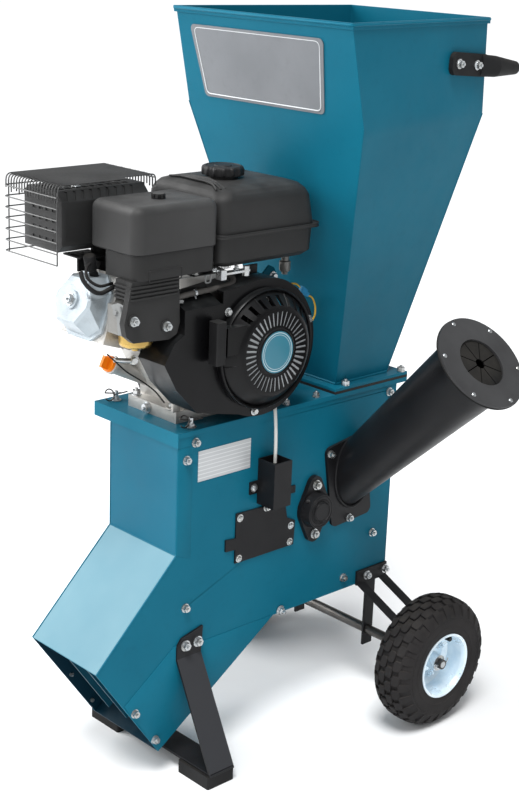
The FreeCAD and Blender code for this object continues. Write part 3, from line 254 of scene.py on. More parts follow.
def rubber(name, tones, roughness=0.7):
    """Matt rubber with warm dust on its upward faces."""
    finish = Finish(name, tones, roughness, specular=0.15)
    finish.dusty((120, 114, 104), 0.16)
    return finish.done(grain=650.0, depth=0.3, distance=0.0004, detail=6.0)


def ruled_plate(name, tones, line, pitch):
    """Printed plate with plain ruled lines."""
    finish = Finish(name, tones, 0.35, metallic=0.2)
    bands = finish.nodes.new("ShaderNodeTexWave")
    bands.bands_direction = "Z"
    bands.inputs["Scale"].default_value = 1 / (pitch * MM) / WAVE_UNIT * FULL_TURN
    bands.inputs["Distortion"].default_value = 0.0
    finish.links.new(finish.place, bands.inputs["Vector"])
    finish.wash(finish.ranged(bands.outputs["Fac"], (0.8, 0.95), (0.0, 1.0)), 0.5, line)
    return finish.done(grain=1500.0, depth=0.05)


def ringed_disc(name, tones, centre, radii, line):
    """Printed round plate with thin pale rings about its centre."""
    finish = Finish(name, tones, 0.4, coat=0.4)
    away = finish.nodes.new("ShaderNodeVectorMath")
    away.operation = "DISTANCE"
    away.inputs[1].default_value = centre
    finish.links.new(finish.place, away.inputs[0])
    for radius, half_width in radii:
        offset = finish.math("ABSOLUTE", finish.math("SUBTRACT", away.outputs["Value"], radius * MM), 0.0)
        finish.tint(finish.ranged(offset, (half_width * MM, (half_width + 0.25) * MM), (0.9, 0.0)), line)
    return finish.done(grain=1500.0, depth=0.04)


TEAL = paint("teal_powder_coat", ((14, 97, 120), (18, 102, 125)), specular=0.07, coat=0.0)
# front wall: painted reflection on its sloping roof, and base tones a little darker than TEAL's as painted
# shade against its stronger light
TEAL_FRONT = paint_with_painted_sheen("teal_powder_coat_front", ((8, 90, 114), (12, 96, 120)), (108, 144, 156))
# far and rear walls: painted shade on their inward faces inside the housing
TEAL_FAR = inward_shaded_paint("teal_powder_coat_far", ((8, 96, 120), (12, 102, 126)), "Y", (10, 40, 54))
TEAL_REAR = inward_shaded_paint("teal_powder_coat_rear", ((8, 96, 120), (12, 102, 126)), "X", (10, 46, 62))
# darker copy of the teal paint for the chute guard plates and outlet screen: painted shade inside the chute
# and outlet
TEAL_PAINTED_SHADE = paint("teal_powder_coat_painted_shade", ((10, 62, 80), (14, 70, 88)), 0.45)
BLACK_PAINT = paint("black_powder_coat", ((20, 20, 22), (27, 27, 29)), 0.42)
# black ring paint lightened to mid grey: painted reflection on the black-painted feed ring
RING_PAINTED_REFLECTION = paint("black_ring_painted_reflection", ((52, 52, 53), (61, 61, 62)), 0.4)
HEAT_PAINT = paint("heat_proof_black", ((16, 16, 17), (26, 26, 26)), 0.55)
SHROUD_BLACK = paint("gloss_black_shroud", ((7, 7, 8), (11, 11, 13)), 0.33, specular=0.16)
LID_PLASTIC = plastic("lid_moulding", ((53, 53, 53), (61, 61, 61)))
DARK_PLASTIC = plastic("dark_grey_moulding", ((37, 37, 37), (45, 45, 45)))
BLACK_PLASTIC = plastic("black_moulding", ((22, 22, 23), (30, 30, 31)), 0.45)
GRIP_RUBBER = rubber("grip_rubber", ((30, 30, 31), (38, 38, 38)), 0.62)
TYRE_RUBBER = rubber("tyre_rubber", ((32, 31, 32), (43, 41, 41)), 0.72)
FLAP_RUBBER = rubber("flap_rubber", ((36, 36, 36), (46, 46, 46)), 0.6)
ZINC = zinc("bright_zinc", ((205, 208, 210), (180, 184, 186)), (150, 140, 118))
RIM_ZINC = zinc("blue_zinc", ((220, 240, 252), (236, 248, 255)), (184, 214, 236), 0.32, 0.4)
STEEL = zinc("bare_steel", ((150, 150, 150), (128, 128, 126)), (98, 92, 86), 0.34)
DARK_STEEL = zinc("oiled_steel", ((92, 90, 88), (74, 72, 70)), (60, 52, 46), 0.4)
BRASS = zinc("yellow_passivated", ((196, 164, 96), (176, 148, 84)), (140, 104, 58), 0.32)
CAST = cast("cast_aluminium", ((190, 188, 184), (168, 166, 162)))
BRIGHT_CAST = cast("bright_pressed_cover", ((178, 188, 194), (160, 170, 177)), 0.36, 0.4)
DULL_CAST = cast("weathered_cast", ((138, 137, 134), (116, 115, 112)), 0.5, 0.5)
PALE_METAL = paint("pale_plated_sheet", ((186, 190, 192), (166, 170, 174)), 0.35, specular=0.4)
DULL_ZINC = paint("dull_plated_sheet", ((132, 134, 134), (112, 114, 114)), 0.4, specular=0.3)
WIRE_GREY = paint("baked_wire", ((62, 62, 62), (78, 78, 78)), 0.35, specular=0.35)
SHIELD_GREY = paint("baked_shield", ((34, 34, 34), (44, 44, 44)), 0.45, specular=0.3)
# leg strap: black paint with a painted highlight on its sloping faces
STRAP_BLACK = strap_paint_with_painted_highlight("strap_powder_coat", ((24, 24, 26), (30, 30, 32)), (56, 57, 60))
MOUTH_RUBBER = rubber("mouth_rubber", ((20, 20, 20), (28, 28, 28)), 0.65)
CAST_IRON = cast("cast_iron", ((84, 82, 80), (66, 64, 62)), 0.5)
ORANGE = plastic("orange_moulding", ((240, 128, 20), (226, 110, 14)), 0.32, depth=0.1)
WHITE_SHEATH = plastic("white_sheath", ((226, 226, 222), (212, 212, 208)), 0.4, depth=0.08)
HOSE_GREY = rubber("hose_rubber", ((72, 70, 68), (84, 82, 80)), 0.5)
YELLOW_WIRE = plastic("yellow_wire", ((232, 184, 60), (222, 172, 48)), 0.4, depth=0.05)
BLUE_PLUG = plastic("blue_connector", ((64, 150, 196), (54, 138, 184)), 0.35, depth=0.05)
BADGE = paint("grey_badge", ((112, 115, 119), (124, 127, 131)), 0.38)
BADGE_LINE = paint("pale_badge_line", ((206, 210, 212), (214, 218, 220)), 0.35)
RATING = ruled_plate("rating_plate_print", ((176, 180, 182), (188, 190, 192)), (232, 234, 234), 6.0)

NODE_LOOKS = {
    "side_wall_near": TEAL, "side_wall_far": TEAL_FAR, "front_wall": TEAL_FRONT,
    "rear_wall": TEAL_REAR, "deck_plate": TEAL,
    "chute_guard": TEAL_PAINTED_SHADE, "hopper": TEAL, "hopper_flange": TEAL, "outlet_screen": TEAL_PAINTED_SHADE,
    "hopper_gasket": FLAP_RUBBER, "feed_tube": BLACK_PAINT, "cover_plate": BLACK_PAINT,
    "switch_box": BLACK_PAINT, "bearing_near": BLACK_PAINT, "bearing_far": BLACK_PAINT,
    "belt_guard": BLACK_PAINT, "leg_frame": STRAP_BLACK, "wheel_brackets": BLACK_PAINT,
    "feed_ring": RING_PAINTED_REFLECTION, "feed_flap": FLAP_RUBBER, "rubber_feet": GRIP_RUBBER, "drive_belt": FLAP_RUBBER,
    "push_handles": GRIP_RUBBER, "hex_bolts": ZINC, "axle": DARK_STEEL, "axle_washers": ZINC,
    "rim_near": RIM_ZINC, "rim_far": RIM_ZINC, "tyre_near": TYRE_RUBBER, "tyre_far": TYRE_RUBBER,
    "rotor_shaft": STEEL, "rotor_drum": DARK_STEEL, "rotor_knives": STEEL, "hammer_front": DARK_STEEL,
    "hammer_rear": DARK_STEEL, "rotor_pulley": CAST_IRON, "crank_pulley": CAST_IRON, "crankcase": CAST,
    "cylinder": CAST, "rocker_cover": BRIGHT_CAST, "silencer": HEAT_PAINT, "silencer_guard": HEAT_PAINT,
    "air_cleaner_cover": LID_PLASTIC, "air_cleaner_base": DARK_PLASTIC, "carburettor": DULL_CAST,
    "float_bowl": BRASS, "fuel_tank": DARK_PLASTIC, "fuel_cap": BLACK_PLASTIC, "fan_shroud": SHROUD_BLACK,
    "recoil_cover": SHROUD_BLACK, "starter_handle": BLACK_PLASTIC, "crankshaft": STEEL, "dipstick": ORANGE,
    "choke_lever": ZINC, "fuel_lever": ZINC, "throttle_lever": ZINC, "switch_cable": WHITE_SHEATH,
    "rating_plate": RATING, "hopper_badge": BADGE,
}

disc_low, disc_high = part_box("recoil_disc")
DISC_CENTRE = (disc_low + disc_high) / 2
NODE_LOOKS["recoil_disc"] = ringed_disc("teal_disc", ((38, 112, 132), (42, 118, 138)), DISC_CENTRE,
                                        ((28.6, 0.35), (25.4, 0.15)), (214, 224, 226))

# sheet and block parts whose sharp edges get a small real bevel, in millimetres
NODE_BEVELS = {
    "side_wall_near": 0.5, "side_wall_far": 0.5, "front_wall": 0.6, "deck_plate": 0.8, "hopper": 0.6,
    "hopper_flange": 0.7, "leg_frame": 0.8, "wheel_brackets": 0.6, "cover_plate": 0.6, "switch_box": 0.5,
    "crankcase": 1.2, "rubber_feet": 1.0, "feed_ring": 0.5, "starter_handle": 1.0, "bearing_near": 0.8,
    "bearing_far": 0.8, "belt_guard": 0.6, "feed_tube": 0.6, "carburettor": 1.0, "rocker_cover": 0.8,
}

# sheets with flat faces only
FLAT_NODES = ("side_wall_near", "side_wall_far", "front_wall", "rear_wall", "cover_plate", "leg_frame")


def dress_node(name, obj):
    """Give a CAD node its material, smooth shading on its round faces and small bevels on its edges."""
    obj.data.materials.clear()
    obj.data.materials.append(NODE_LOOKS[name])
    for polygon in obj.data.polygons:
        polygon.use_smooth = name not in FLAT_NODES
    weld = obj.modifiers.new("Weld", "WELD")
    weld.merge_threshold = 0.00001
    if name in NODE_BEVELS:
        bevel = obj.modifiers.new("Bevel", "BEVEL")
        bevel.width = NODE_BEVELS[name] * MM
        bevel.segments = 2
        bevel.limit_method = "ANGLE"
        bevel.angle_limit = radians(34)
        bevel.harden_normals = False
    if name in FLAT_NODES:
        return
    crease = obj.modifiers.new("Crease", "EDGE_SPLIT")
    crease.split_angle = radians(30)
    crease.use_edge_sharp = False
    smooth = obj.modifiers.new("Normals", "WEIGHTED_NORMAL")
    smooth.keep_sharp = True


for node_name, node_object in nodes.items():
    dress_node(node_name, node_object)


# ---------------------------------------------------------------- mesh building

def turn_to(axis):
    """Rotation that brings +Z on to an axis."""
    return Vector((0, 0, 1)).rotation_difference(Vector(axis).normalized())


def around(count, start=0.0):
    """Evenly spaced angles of a full turn, in radians."""
    return [radians(start) + 2 * pi * index / count for index in range(count)]


def arc_path(points, radius, steps=5, closed=False):
    """Straight runs whose corners are rounded to one radius."""
    spots = [Vector(point) for point in points]
    count = len(spots)
    path = []
    for index, corner in enumerate(spots):
        if not closed and index in (0, count - 1):
            path.append(corner)
            continue
        before = (spots[index - 1] - corner)
        after = (spots[(index + 1) % count] - corner)
        half = before.angle(after) / 2
        reach = min(radius / tan(half), before.length * 0.48, after.length * 0.48)
        start = corner + before.normalized() * reach
        finish = corner + after.normalized() * reach
        for step in range(steps + 1):
            share = step / steps
            path.append(start.lerp(corner, share).lerp(corner.lerp(finish, share), share))
    return path


def flowing(points, steps=6):
    """Smooth line through given points."""
    spots = [Vector(point) for point in points]
    spots = [spots[0] * 2 - spots[1]] + spots + [spots[-1] * 2 - spots[-2]]
    path = []
    for a, b, c, d in zip(spots, spots[1:], spots[2:], spots[3:]):
        for step in range(steps):
            t = step / steps
            path.append(0.5 * (2 * b + (c - a) * t + (2 * a - 5 * b + 4 * c - d) * t * t
                               + (3 * b - a - 3 * c + d) * t ** 3))
    path.append(spots[-2])
    return path


def in_scene(name, data):
    """New object that holds some data, linked to the scene."""
    obj = bpy.data.objects.new(name, data)
    bpy.context.scene.collection.objects.link(obj)
    return obj


def shade_smooth(mesh, sharp):
    """Smooth shading that breaks at edges sharper than some degrees."""
    for polygon in mesh.polygons:
        polygon.use_smooth = True
    mesh.set_sharp_from_angle(angle=radians(sharp))


HEX_CORNERS = 1.732                 # a hexagon's width across its flats over its corner radius


class Form:
    """Solids gathered into one mesh, in design millimetres."""

    def __init__(self):
        self.bm = bmesh.new()

    def loops(self, rings, capped=False):
        """Skin between rings of points; a ring of one point is a tip."""
        made = [[self.bm.verts.new(point) for point in ring] for ring in rings]
        for low, high in zip(made, made[1:]):
            self.skin(low, high)
        if capped:
            for ring in (made[0], made[-1]):
                self.bm.faces.new(ring)
        return made

    def skin(self, low, high):
        """Faces between two rings, or between a ring and a tip."""
        count = max(len(low), len(high))
        for index in range(count):
            after = (index + 1) % count
            if len(low) == 1:
                self.bm.faces.new((low[0], high[after], high[index]))
            elif len(high) == 1:
                self.bm.faces.new((low[index], low[after], high[0]))
            else:
                self.bm.faces.new((low[index], low[after], high[after], high[index]))

    def soften(self, made, bevel):
        """Round the edges of a solid just made."""
        if bevel:
            edges = {edge for ring in made for vert in ring for edge in vert.link_edges}
            bmesh.ops.bevel(self.bm, geom=list(edges), offset=bevel, segments=2, profile=0.5,
                            affect="EDGES", clamp_overlap=True)
        return self

    def box(self, low, high, bevel=0.0, place=None):
        """Box between two corners, optionally moved by a matrix, with rounded edges."""
        low, high = Vector(low), Vector(high)
        corners = []
        for z in (low.z, high.z):
            corners.append([Vector((low.x, low.y, z)), Vector((high.x, low.y, z)),
                            Vector((high.x, high.y, z)), Vector((low.x, high.y, z))])
        if place is not None:
            corners = [[place @ corner for corner in ring] for ring in corners]
        return self.soften(self.loops(corners, capped=True), bevel)

    def slab(self, outline, push, bevel=0.0):
        """Flat outline pushed along a vector, its rims bevelled."""
        base = [Vector(point) for point in outline]
        moved = [point + Vector(push) for point in base]
        return self.soften(self.loops([base, moved], capped=True), bevel)

    def lathe(self, profile, centre, axis=(0, 0, 1), segments=40, closed=False):
        """Profile of (radius, height) turned about an axis; closed joins its last point to its first."""
        turn = turn_to(axis)
        centre = Vector(centre)
        rings = []
        for radius, height in profile:
            if radius < 1e-6:
                rings.append([centre + turn @ Vector((0, 0, height))])
                continue
            rings.append([centre + turn @ Vector((radius * cos(a), radius * sin(a), height))
                          for a in around(segments)])
        made = self.loops(rings)
        if closed:
            self.skin(made[-1], made[0])
        return self

    def tube(self, path, radius, sides=8, closed=False, taper=None):
        """Round tube along a path, carried without twist."""
        path = [Vector(point) for point in path]
        count = len(path)
        side = None
        rings = []
        for index, point in enumerate(path):
            before = path[index - 1] if index or closed else point
            after = path[(index + 1) % count] if index < count - 1 or closed else point
            along = (after - before).normalized()
            if side is None:
                side = along.orthogonal().normalized()
            side = (side - along * side.dot(along)).normalized()
            up = along.cross(side)
            width = radius * (taper(index / (count - 1)) if taper else 1.0)
            rings.append([point + (side * cos(a) + up * sin(a)) * width for a in around(sides)])
        made = self.loops(rings, capped=not closed)
        if closed:
            self.skin(made[-1], made[0])
        return self

    def rod(self, start, end, radius, sides=12, chamfer=0.0):
        """Straight round bar with optional chamfered ends."""
        start, end = Vector(start), Vector(end)
        length = (end - start).length
        profile = [(0, 0), (radius - chamfer, 0), (radius, chamfer), (radius, length - chamfer),
                   (radius - chamfer, length), (0, length)]
        if not chamfer:
            profile = [(0, 0), (radius, 0), (radius, length), (0, length)]
        return self.lathe(profile, start, end - start, sides)

    def hexagon(self, at, outward, across, height, washer=0.0, stem=0.0):
        """Hexagon nut or head with chamfered corners, an optional washer and thread end."""
        turn = turn_to(outward)
        at = Vector(at)
        lift = 0.0
        if washer:
            self.lathe([(0, 0), (washer - 0.4, 0), (washer, 0.4), (washer, 1.1), (washer - 0.4, 1.5),
                        (0, 1.5)], at, outward, 28)
            lift = 1.5
        rings = []
        for share, z in ((1.0, 0.0), (1.0, height * 0.82), (0.88, height)):
            reach = across / HEX_CORNERS * share
            rings.append([at + turn @ Vector((reach * cos(a), reach * sin(a), lift + z)) for a in around(6)])
        self.loops(rings, capped=True)
        if stem:
            self.lathe([(across * 0.27, 0), (across * 0.27, stem - 0.5), (across * 0.22, stem), (0, stem)],
                       at + turn @ Vector((0, 0, lift + height)), outward, 16)
        return self

    def screw(self, at, outward, radius):
        """Pan head screw with a cross recess, on a spring washer."""
        turn = turn_to(outward)
        at = Vector(at)
        self.lathe([(0, 0), (radius * 1.45, 0), (radius * 1.45, 0.9), (radius, 1.0),
                    (radius * 0.96, radius * 0.6), (radius * 0.6, radius * 0.95), (0, radius)],
                   at, outward, 24)
        for angle in (0.0, pi / 2):
            matrix = Matrix.Translation(at) @ turn.to_matrix().to_4x4() @ Matrix.Rotation(angle, 4, "Z")
            self.box((-radius * 0.62, -radius * 0.1, radius * 0.9),
                     (radius * 0.62, radius * 0.1, radius * 1.04), place=matrix)
        return self

    def mesh(self, name):
        """Turn the solids into a mesh in row-frame metres."""
        bmesh.ops.recalc_face_normals(self.bm, faces=self.bm.faces)
        to_frame = Matrix.Translation(FRONT) @ Matrix.Scale(MM, 4)
        bmesh.ops.transform(self.bm, matrix=to_frame, verts=self.bm.verts)
        mesh = bpy.data.meshes.new(name)
        self.bm.to_mesh(mesh)
        self.bm.free()
        return mesh

    def build(self, name, material, body="root", sharp=38.0, replaces=()):
        """Make the object, smooth its round faces and let it ride on a body."""
        mesh = self.mesh(name)
        mesh.materials.append(material)
        shade_smooth(mesh, sharp)
        obj = in_scene(name, mesh)
        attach(obj, body)
        if replaces:
            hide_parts(*replaces)
        return obj


def carve(obj, cutter_form):
    """Cut one mesh out of another and keep the result."""
    cutter = in_scene("cutter", cutter_form.mesh("cutter"))
    modifier = obj.modifiers.new("Carve", "BOOLEAN")
    modifier.operation = "DIFFERENCE"
    modifier.solver = "EXACT"
    modifier.object = cutter
    depsgraph = bpy.context.evaluated_depsgraph_get()
    result = bpy.data.meshes.new_from_object(obj.evaluated_get(depsgraph))
    obj.modifiers.remove(modifier)
    obj.data = result
    bpy.data.objects.remove(cutter)
    shade_smooth(obj.data, 30)


# ---------------------------------------------------------------- wheels

TREAD_PITCHES = 26


def crown(y, radius):
    """Radius of the tread surface at a distance from the tyre's middle plane."""
    return radius - 2.6 * (abs(y) / 20) ** 3.3


def tread_block(form, centre, radius, outline, y_middle, angle, depth):
    """One tread block: an outline of (length along the tyre, width across it) standing on the carcass."""
    rings = []
    for shrink, sink in ((1.0, depth + 1.0), (1.0, 0.9), (0.88, 0.0)):
        ring = []
        for along, across in outline:
            y = y_middle + across * shrink
            reach = crown(y, radius) - sink
            turn = angle + along * shrink / radius
            ring.append(centre + polar(reach, turn, y))
        rings.append(ring)
    form.loops(rings, capped=True)


def side_lug(form, centre, angle, side, radius, half_width):
    """Shoulder lug that runs down from the tread on to the side wall."""
    rings = []
    stations = ((crown(24.5, radius), 24.5), (98.4, 29.2), (93.0, 32.6), (87.0, 34.6), (83.5, 35.3))
    for reach, y in stations:
        width = 7.6 if reach > 90 else 6.2
        turn_low = angle - width / reach
        turn_high = angle + width / reach
        sink = 4.0
        inner = reach - sink * 0.85
        inner_y = y - sink * (0.25 if reach > 97 else 0.9)
        ring = []
        for turn, r, across in ((turn_low, inner, inner_y), (turn_high, inner, inner_y),
                                (turn_high - 0.012, reach, y), (turn_low + 0.012, reach, y)):
            across = min(across, half_width)
            ring.append(centre + polar(r, turn, side * across))
        rings.append(ring)
    form.loops(rings, capped=True)


def make_tyre(label):
    """Block-tread tyre that stands for the plain CAD tyre."""
    low, high = node_box("tyre_" + label)
    centre = (low + high) / 2
    radius = (high.x - low.x) / 2
    half_width = (high.y - low.y) / 2
    groove = 4.2
    form = Form()
    half = [(crown(9, radius) - groove, 9), (crown(20, radius) - groove, 20), (95.0, 28.5), (91.0, 31.2),
            (88.5, 32.6), (84.6, 34.4), (84.0, 35.1), (82.6, 35.2), (82.0, 34.8), (76, 35.2), (67.4, 35.0),
            (66.8, 35.5), (65.4, 35.5), (64.8, 34.9), (58, 34.2), (54.5, 33.2), (51.5, 31.2), (50.4, 24.0)]
    profile = [(r, -y) for r, y in reversed(half)] + [(crown(0, radius) - groove, 0)] + half
    form.lathe(profile, centre, (0, 1, 0), 104, closed=True)
    block = ((-9.2, -4.6), (-7.6, -6.3), (6.4, -5.6), (9.2, -3.6),
             (9.2, 4.6), (7.6, 6.3), (-6.4, 5.6), (-9.2, 3.6))
    step = 2 * pi / TREAD_PITCHES
    for pitch in range(TREAD_PITCHES):
        for row, y in enumerate((-19.6, -6.6, 6.6, 19.6)):
            angle = pitch * step + (step / 2 if row % 2 else 0.0)
            tread_block(form, centre, radius, block, y, angle, groove)
        for side in (-1, 1):
            side_lug(form, centre, pitch * step + (step / 2 if side < 0 else 0.0), side, radius, half_width)
    # fine dashes moulded on the side wall
    for side in (-1, 1):
        for turn in around(60):
            out = polar(1.0, turn)
            along = Vector((-sin(turn), 0, cos(turn)))
            base = centre + out * 79.0 + Vector((0, side * 34.9, 0))
            form.tube([base - along * 2.4, base + along * 2.4], 0.55, 5)
    form.build("tyre_tread_" + label, TYRE_RUBBER, "wheel_" + label, 30.0, ["tyre_" + label])


def make_rim_details(label):
    """Clamp bolts, bearing seal, rolled bead and valve on the wheel's outer side."""
    centre = node_middle("rim_" + label)
    side = -1 if label == "near" else 1
    out = Vector((0, side, 0))
    body = "wheel_" + label
    dish = -side * 7.0
    metal = Form()
    for turn in around(4, 20):
        at = centre + polar(34, turn, dish)
        metal.hexagon(at, out, 9.0, 4.5, washer=7.0, stem=3.0)
    seal_at = centre + Vector((0, side * 20.0, 0))
    metal.lathe([(8.6, 0), (12.6, 0), (13.4, 0.5), (13.4, 1.4), (12.4, 2.0), (11.2, 1.2), (9.2, 1.2),
                 (8.6, 0.6)], seal_at, out, 36, closed=True)
    # rolled bead on the rim's lip
    metal.lathe([(53.0 + 1.3 * cos(a), 1.3 * sin(a)) for a in around(10)],
                centre + Vector((0, side * 34.1, 0)), (0, 1, 0), 72, closed=True)
    metal.build("rim_fittings_" + label, RIM_ZINC, body)
    valve = Form()
    turn = radians(52)
    foot = centre + polar(42.5, turn, dish)
    valve.lathe([(0, 0), (6.2, 0), (5.6, 2.5), (4.2, 5), (4.0, 17), (3.4, 17.4), (3.4, 18.2), (4.2, 18.8),
                 (4.2, 27.2), (3.4, 28.2), (0, 28.4)], foot, out, 24)
    valve.build("tyre_valve_" + label, BLACK_PLASTIC, body)


def make_axle_ends():
    """Split pins and centre marks on the axle's ends."""
    low, high = node_box("axle")
    middle = (low + high) / 2
    form = Form()
    for y, side in ((low.y, -1), (high.y, 1)):
        pin_y = y - side * 4.0
        form.rod((middle.x - 12, pin_y, middle.z), (middle.x + 13, pin_y, middle.z), 1.4, 10, 0.3)
        eye = [(middle.x - 14.5 + 3.0 * cos(a), pin_y, middle.z + 3.0 * sin(a)) for a in around(14)]
        form.tube(eye, 0.9, 7, closed=True)
        form.tube(arc_path([(middle.x + 12, pin_y, middle.z), (middle.x + 15, pin_y, middle.z + 1),
                            (middle.x + 16, pin_y, middle.z + 6)], 2), 0.9, 7)
        form.lathe([(0, 0), (5.4, 0), (5.0, 0.5), (0, 0.6)], (middle.x, y, middle.z), (0, side, 0), 24)
    form.build("split_pins", ZINC)


# ---------------------------------------------------------------- housing details

def make_wall_seams():
    """Lapped lower cheeks of the chute, folded corner flanges and the weld beads between the sheets."""
    width = node_box("side_wall_near", "side_wall_far")[1].y
    form = Form()
    cheek = ((-93.0, 139.6), (0.0, 208.2), (57.0, 197.6), (60.0, 199.6), (203.0, 199.6), (-26.6, 43.0))
    for y, push in ((0.0, -1.1), (width, 1.1)):
        form.slab([(x, y, z) for x, z in cheek], (0, push, 0), 0.35)
        # flange of the front sheet folded round on to the side wall
        form.slab([(0.3, y, 354.0), (27.0, y, 343.0), (27.0, y, 518.0), (0.3, y, 518.0)],
                  (0, push * 0.5, 0), 0.2)
    form.build("lapped_sheets", TEAL)
    beads = Form()
    for y in (0.3, width - 0.3):
        beads.tube([(0.2, y, 353.8 + 164 * share) for share in (0.0, 1.0)], 0.8, 6)
        beads.tube([(-144.2, y, 207.0), (0.0, y, 353.3)], 0.9, 6)
        beads.tube([(204.0, y, 199.3), (461.6, y, 199.3)], 0.8, 6)
    beads.tube([(-0.2, 0.5, 353.6), (-0.2, width - 0.5, 353.6)], 1.0, 6)
    beads.build("corner_beads", TEAL)


def bead_run(form, start, end, radius, pitch=3.2):
    """Weld bead of overlapping ripples between two points."""
    start, end = Vector(start), Vector(end)
    count = max(2, int((end - start).length / pitch))
    path = [start.lerp(end, index / (2 * count)) for index in range(2 * count + 1)]
    form.tube(path, radius, 7, taper=lambda share: 1.0 if round(share * 2 * count) % 2 else 0.78)


def make_hopper_details():
    """Rolled rim, seams on the lower corners and the weld round the foot."""
    high = node_box("hopper")[1]
    rings = hopper_rings()
    form = Form()
    form.tube(arc_path(ring_at(rings, high.z - 3.0), 4, closed=True), 2.2, 8, closed=True)
    for corner in range(4):
        form.tube([rings[0][corner], rings[1][corner]], 0.8, 6)
    form.build("hopper_seams", TEAL)
    weld = Form()
    foot = rings[0]
    lift = Vector((0, 0, 1.5))
    for index in range(4):
        bead_run(weld, foot[index] + lift, foot[(index + 1) % 4] + lift, 2.6)
    weld.build("hopper_foot_weld", TEAL)


def hopper_rings():
    """Outer corners of the hopper at its foot, its kink and its rim, read from the CAD mesh."""
    points = [design(vert.co) for vert in nodes["hopper"].data.vertices]
    low, high = node_box("hopper")
    kink = 970.0
    rings = []
    for height in (low.z, kink, high.z):
        level = [point for point in points if abs(point.z - height) < 0.6]
        middle = sum(level, Vector()) / len(level)
        ring = []
        for sign_x, sign_y in ((-1, -1), (1, -1), (1, 1), (-1, 1)):
            ring.append(max(level, key=lambda point: sign_x * (point.x - middle.x)
                            + sign_y * (point.y - middle.y)))
        rings.append(ring)
    return rings


def ring_at(rings, height):
    """Corners of the hopper at a height above its kink."""
    share = (height - rings[1][0].z) / (rings[2][0].z - rings[1][0].z)
    return [a.lerp(b, share) for a, b in zip(rings[1], rings[2])]


def make_badge_border():
    """Raised pale line round the blank badge."""
    points = [design(vert.co) for vert in nodes["hopper_badge"].data.vertices]
    middle = sum(points, Vector()) / len(points)
    corners = []
    for sign_z, sign_y in ((-1, -1), (-1, 1), (1, 1), (1, -1)):
        corners.append(max(points, key=lambda point: 0.9 * sign_z * (point.z - middle.z)
                           + sign_y * (point.y - middle.y)))
    corners = [middle + (corner - middle) * 0.965 for corner in corners]
    normal = (corners[1] - corners[0]).cross(corners[3] - corners[0]).normalized()
    if normal.x > 0:
        normal = -normal
    loop = arc_path([corner + normal * 0.5 for corner in corners], 9, closed=True)
    form = Form()
    form.tube(loop, 0.9, 6, closed=True)
    form.build("badge_border", BADGE_LINE)


def make_deck_pins():
    """Eye bolts with spring clips at the deck's front corners, and a bolt low on the near wall."""
    pins = Form()
    clips = Form()
    deck_top = node_box("deck_plate")[1].z
    for x, y in ((26.0, 178.0), (34.0, 13.0)):
        pins.hexagon((x, y, deck_top), (0, 0, 1), 9.0, 4.5, washer=8.0)
        pins.rod((x, y, deck_top + 4), (x, y, deck_top + 15), 3.4, 16, 0.8)
        centre = Vector((x, y, deck_top + 10.5))
        ring = [centre + Vector((-13 + 8.5 * cos(a), 2.5 * sin(a), 8.5 * sin(a)))
                for a in [radians(-150 + 12 * step) for step in range(26)]]
        path = ring + [centre + Vector((6, 0, -1)), centre + Vector((20, -2, 0))]
        clips.tube(path, 1.1, 7)
        clips.tube([centre + Vector((-4, -4, 0)), centre + Vector((14, 8, -3))], 1.0, 7)
    pins.hexagon((217.6, -1.0, 203.0), (0, -1, 0), 10.0, 5.0, washer=8.0, stem=6.0)
    pins.build("deck_pins", ZINC)
    clips.build("spring_clips", DARK_STEEL)


def make_wall_screws():
    """Cross-head screws of the cover plate and the switch box, a nut below it and the lead's end inside it."""
    form = Form()
    for x, z in ((122.0, 384.0), (230.0, 345.0), (122.0, 318.0), (229.0, 318.0)):
        form.screw((x, -3.0, z), (0, -1, 0), 4.2)
    for x, z in ((149.0, 426.0), (203.0, 404.0)):
        form.screw((x, -2.5, z), (0, -1, 0), 4.6)
    form.hexagon((176.0, -3.0, 388.0), (0, -1, 0), 8.0, 4.0, washer=6.0, stem=3.0)
    form.build("wall_screws", ZINC)
    thin = Form()
    thin.tube(flowing([(176, -18, 466), (175.5, -18.5, 456), (174, -19, 442), (176, -18, 428)]), 1.2, 8)
    thin.build("switch_core", BLACK_PLASTIC)


def make_flap(axis):
    """Rubber flap slit into eight petals that meet at a round hole."""
    seat = node_middle("feed_flap") - axis * 1.2
    form = Form()
    form.lathe([(8.0, 0), (74.8, 0), (74.8, 2.4), (8.0, 2.4)], seat, axis, 96, closed=True)
    flap = form.build("feed_flap_petals", MOUTH_RUBBER, replaces=("feed_flap",))
    slits = Form()
    for turn in around(8, 12):
        place = Matrix.Translation(seat) @ turn_to(axis).to_matrix().to_4x4() @ Matrix.Rotation(turn, 4, "Z")
        slits.box((6, -0.8, -2), (38.0, 0.8, 5), place=place)
    carve(flap, slits)


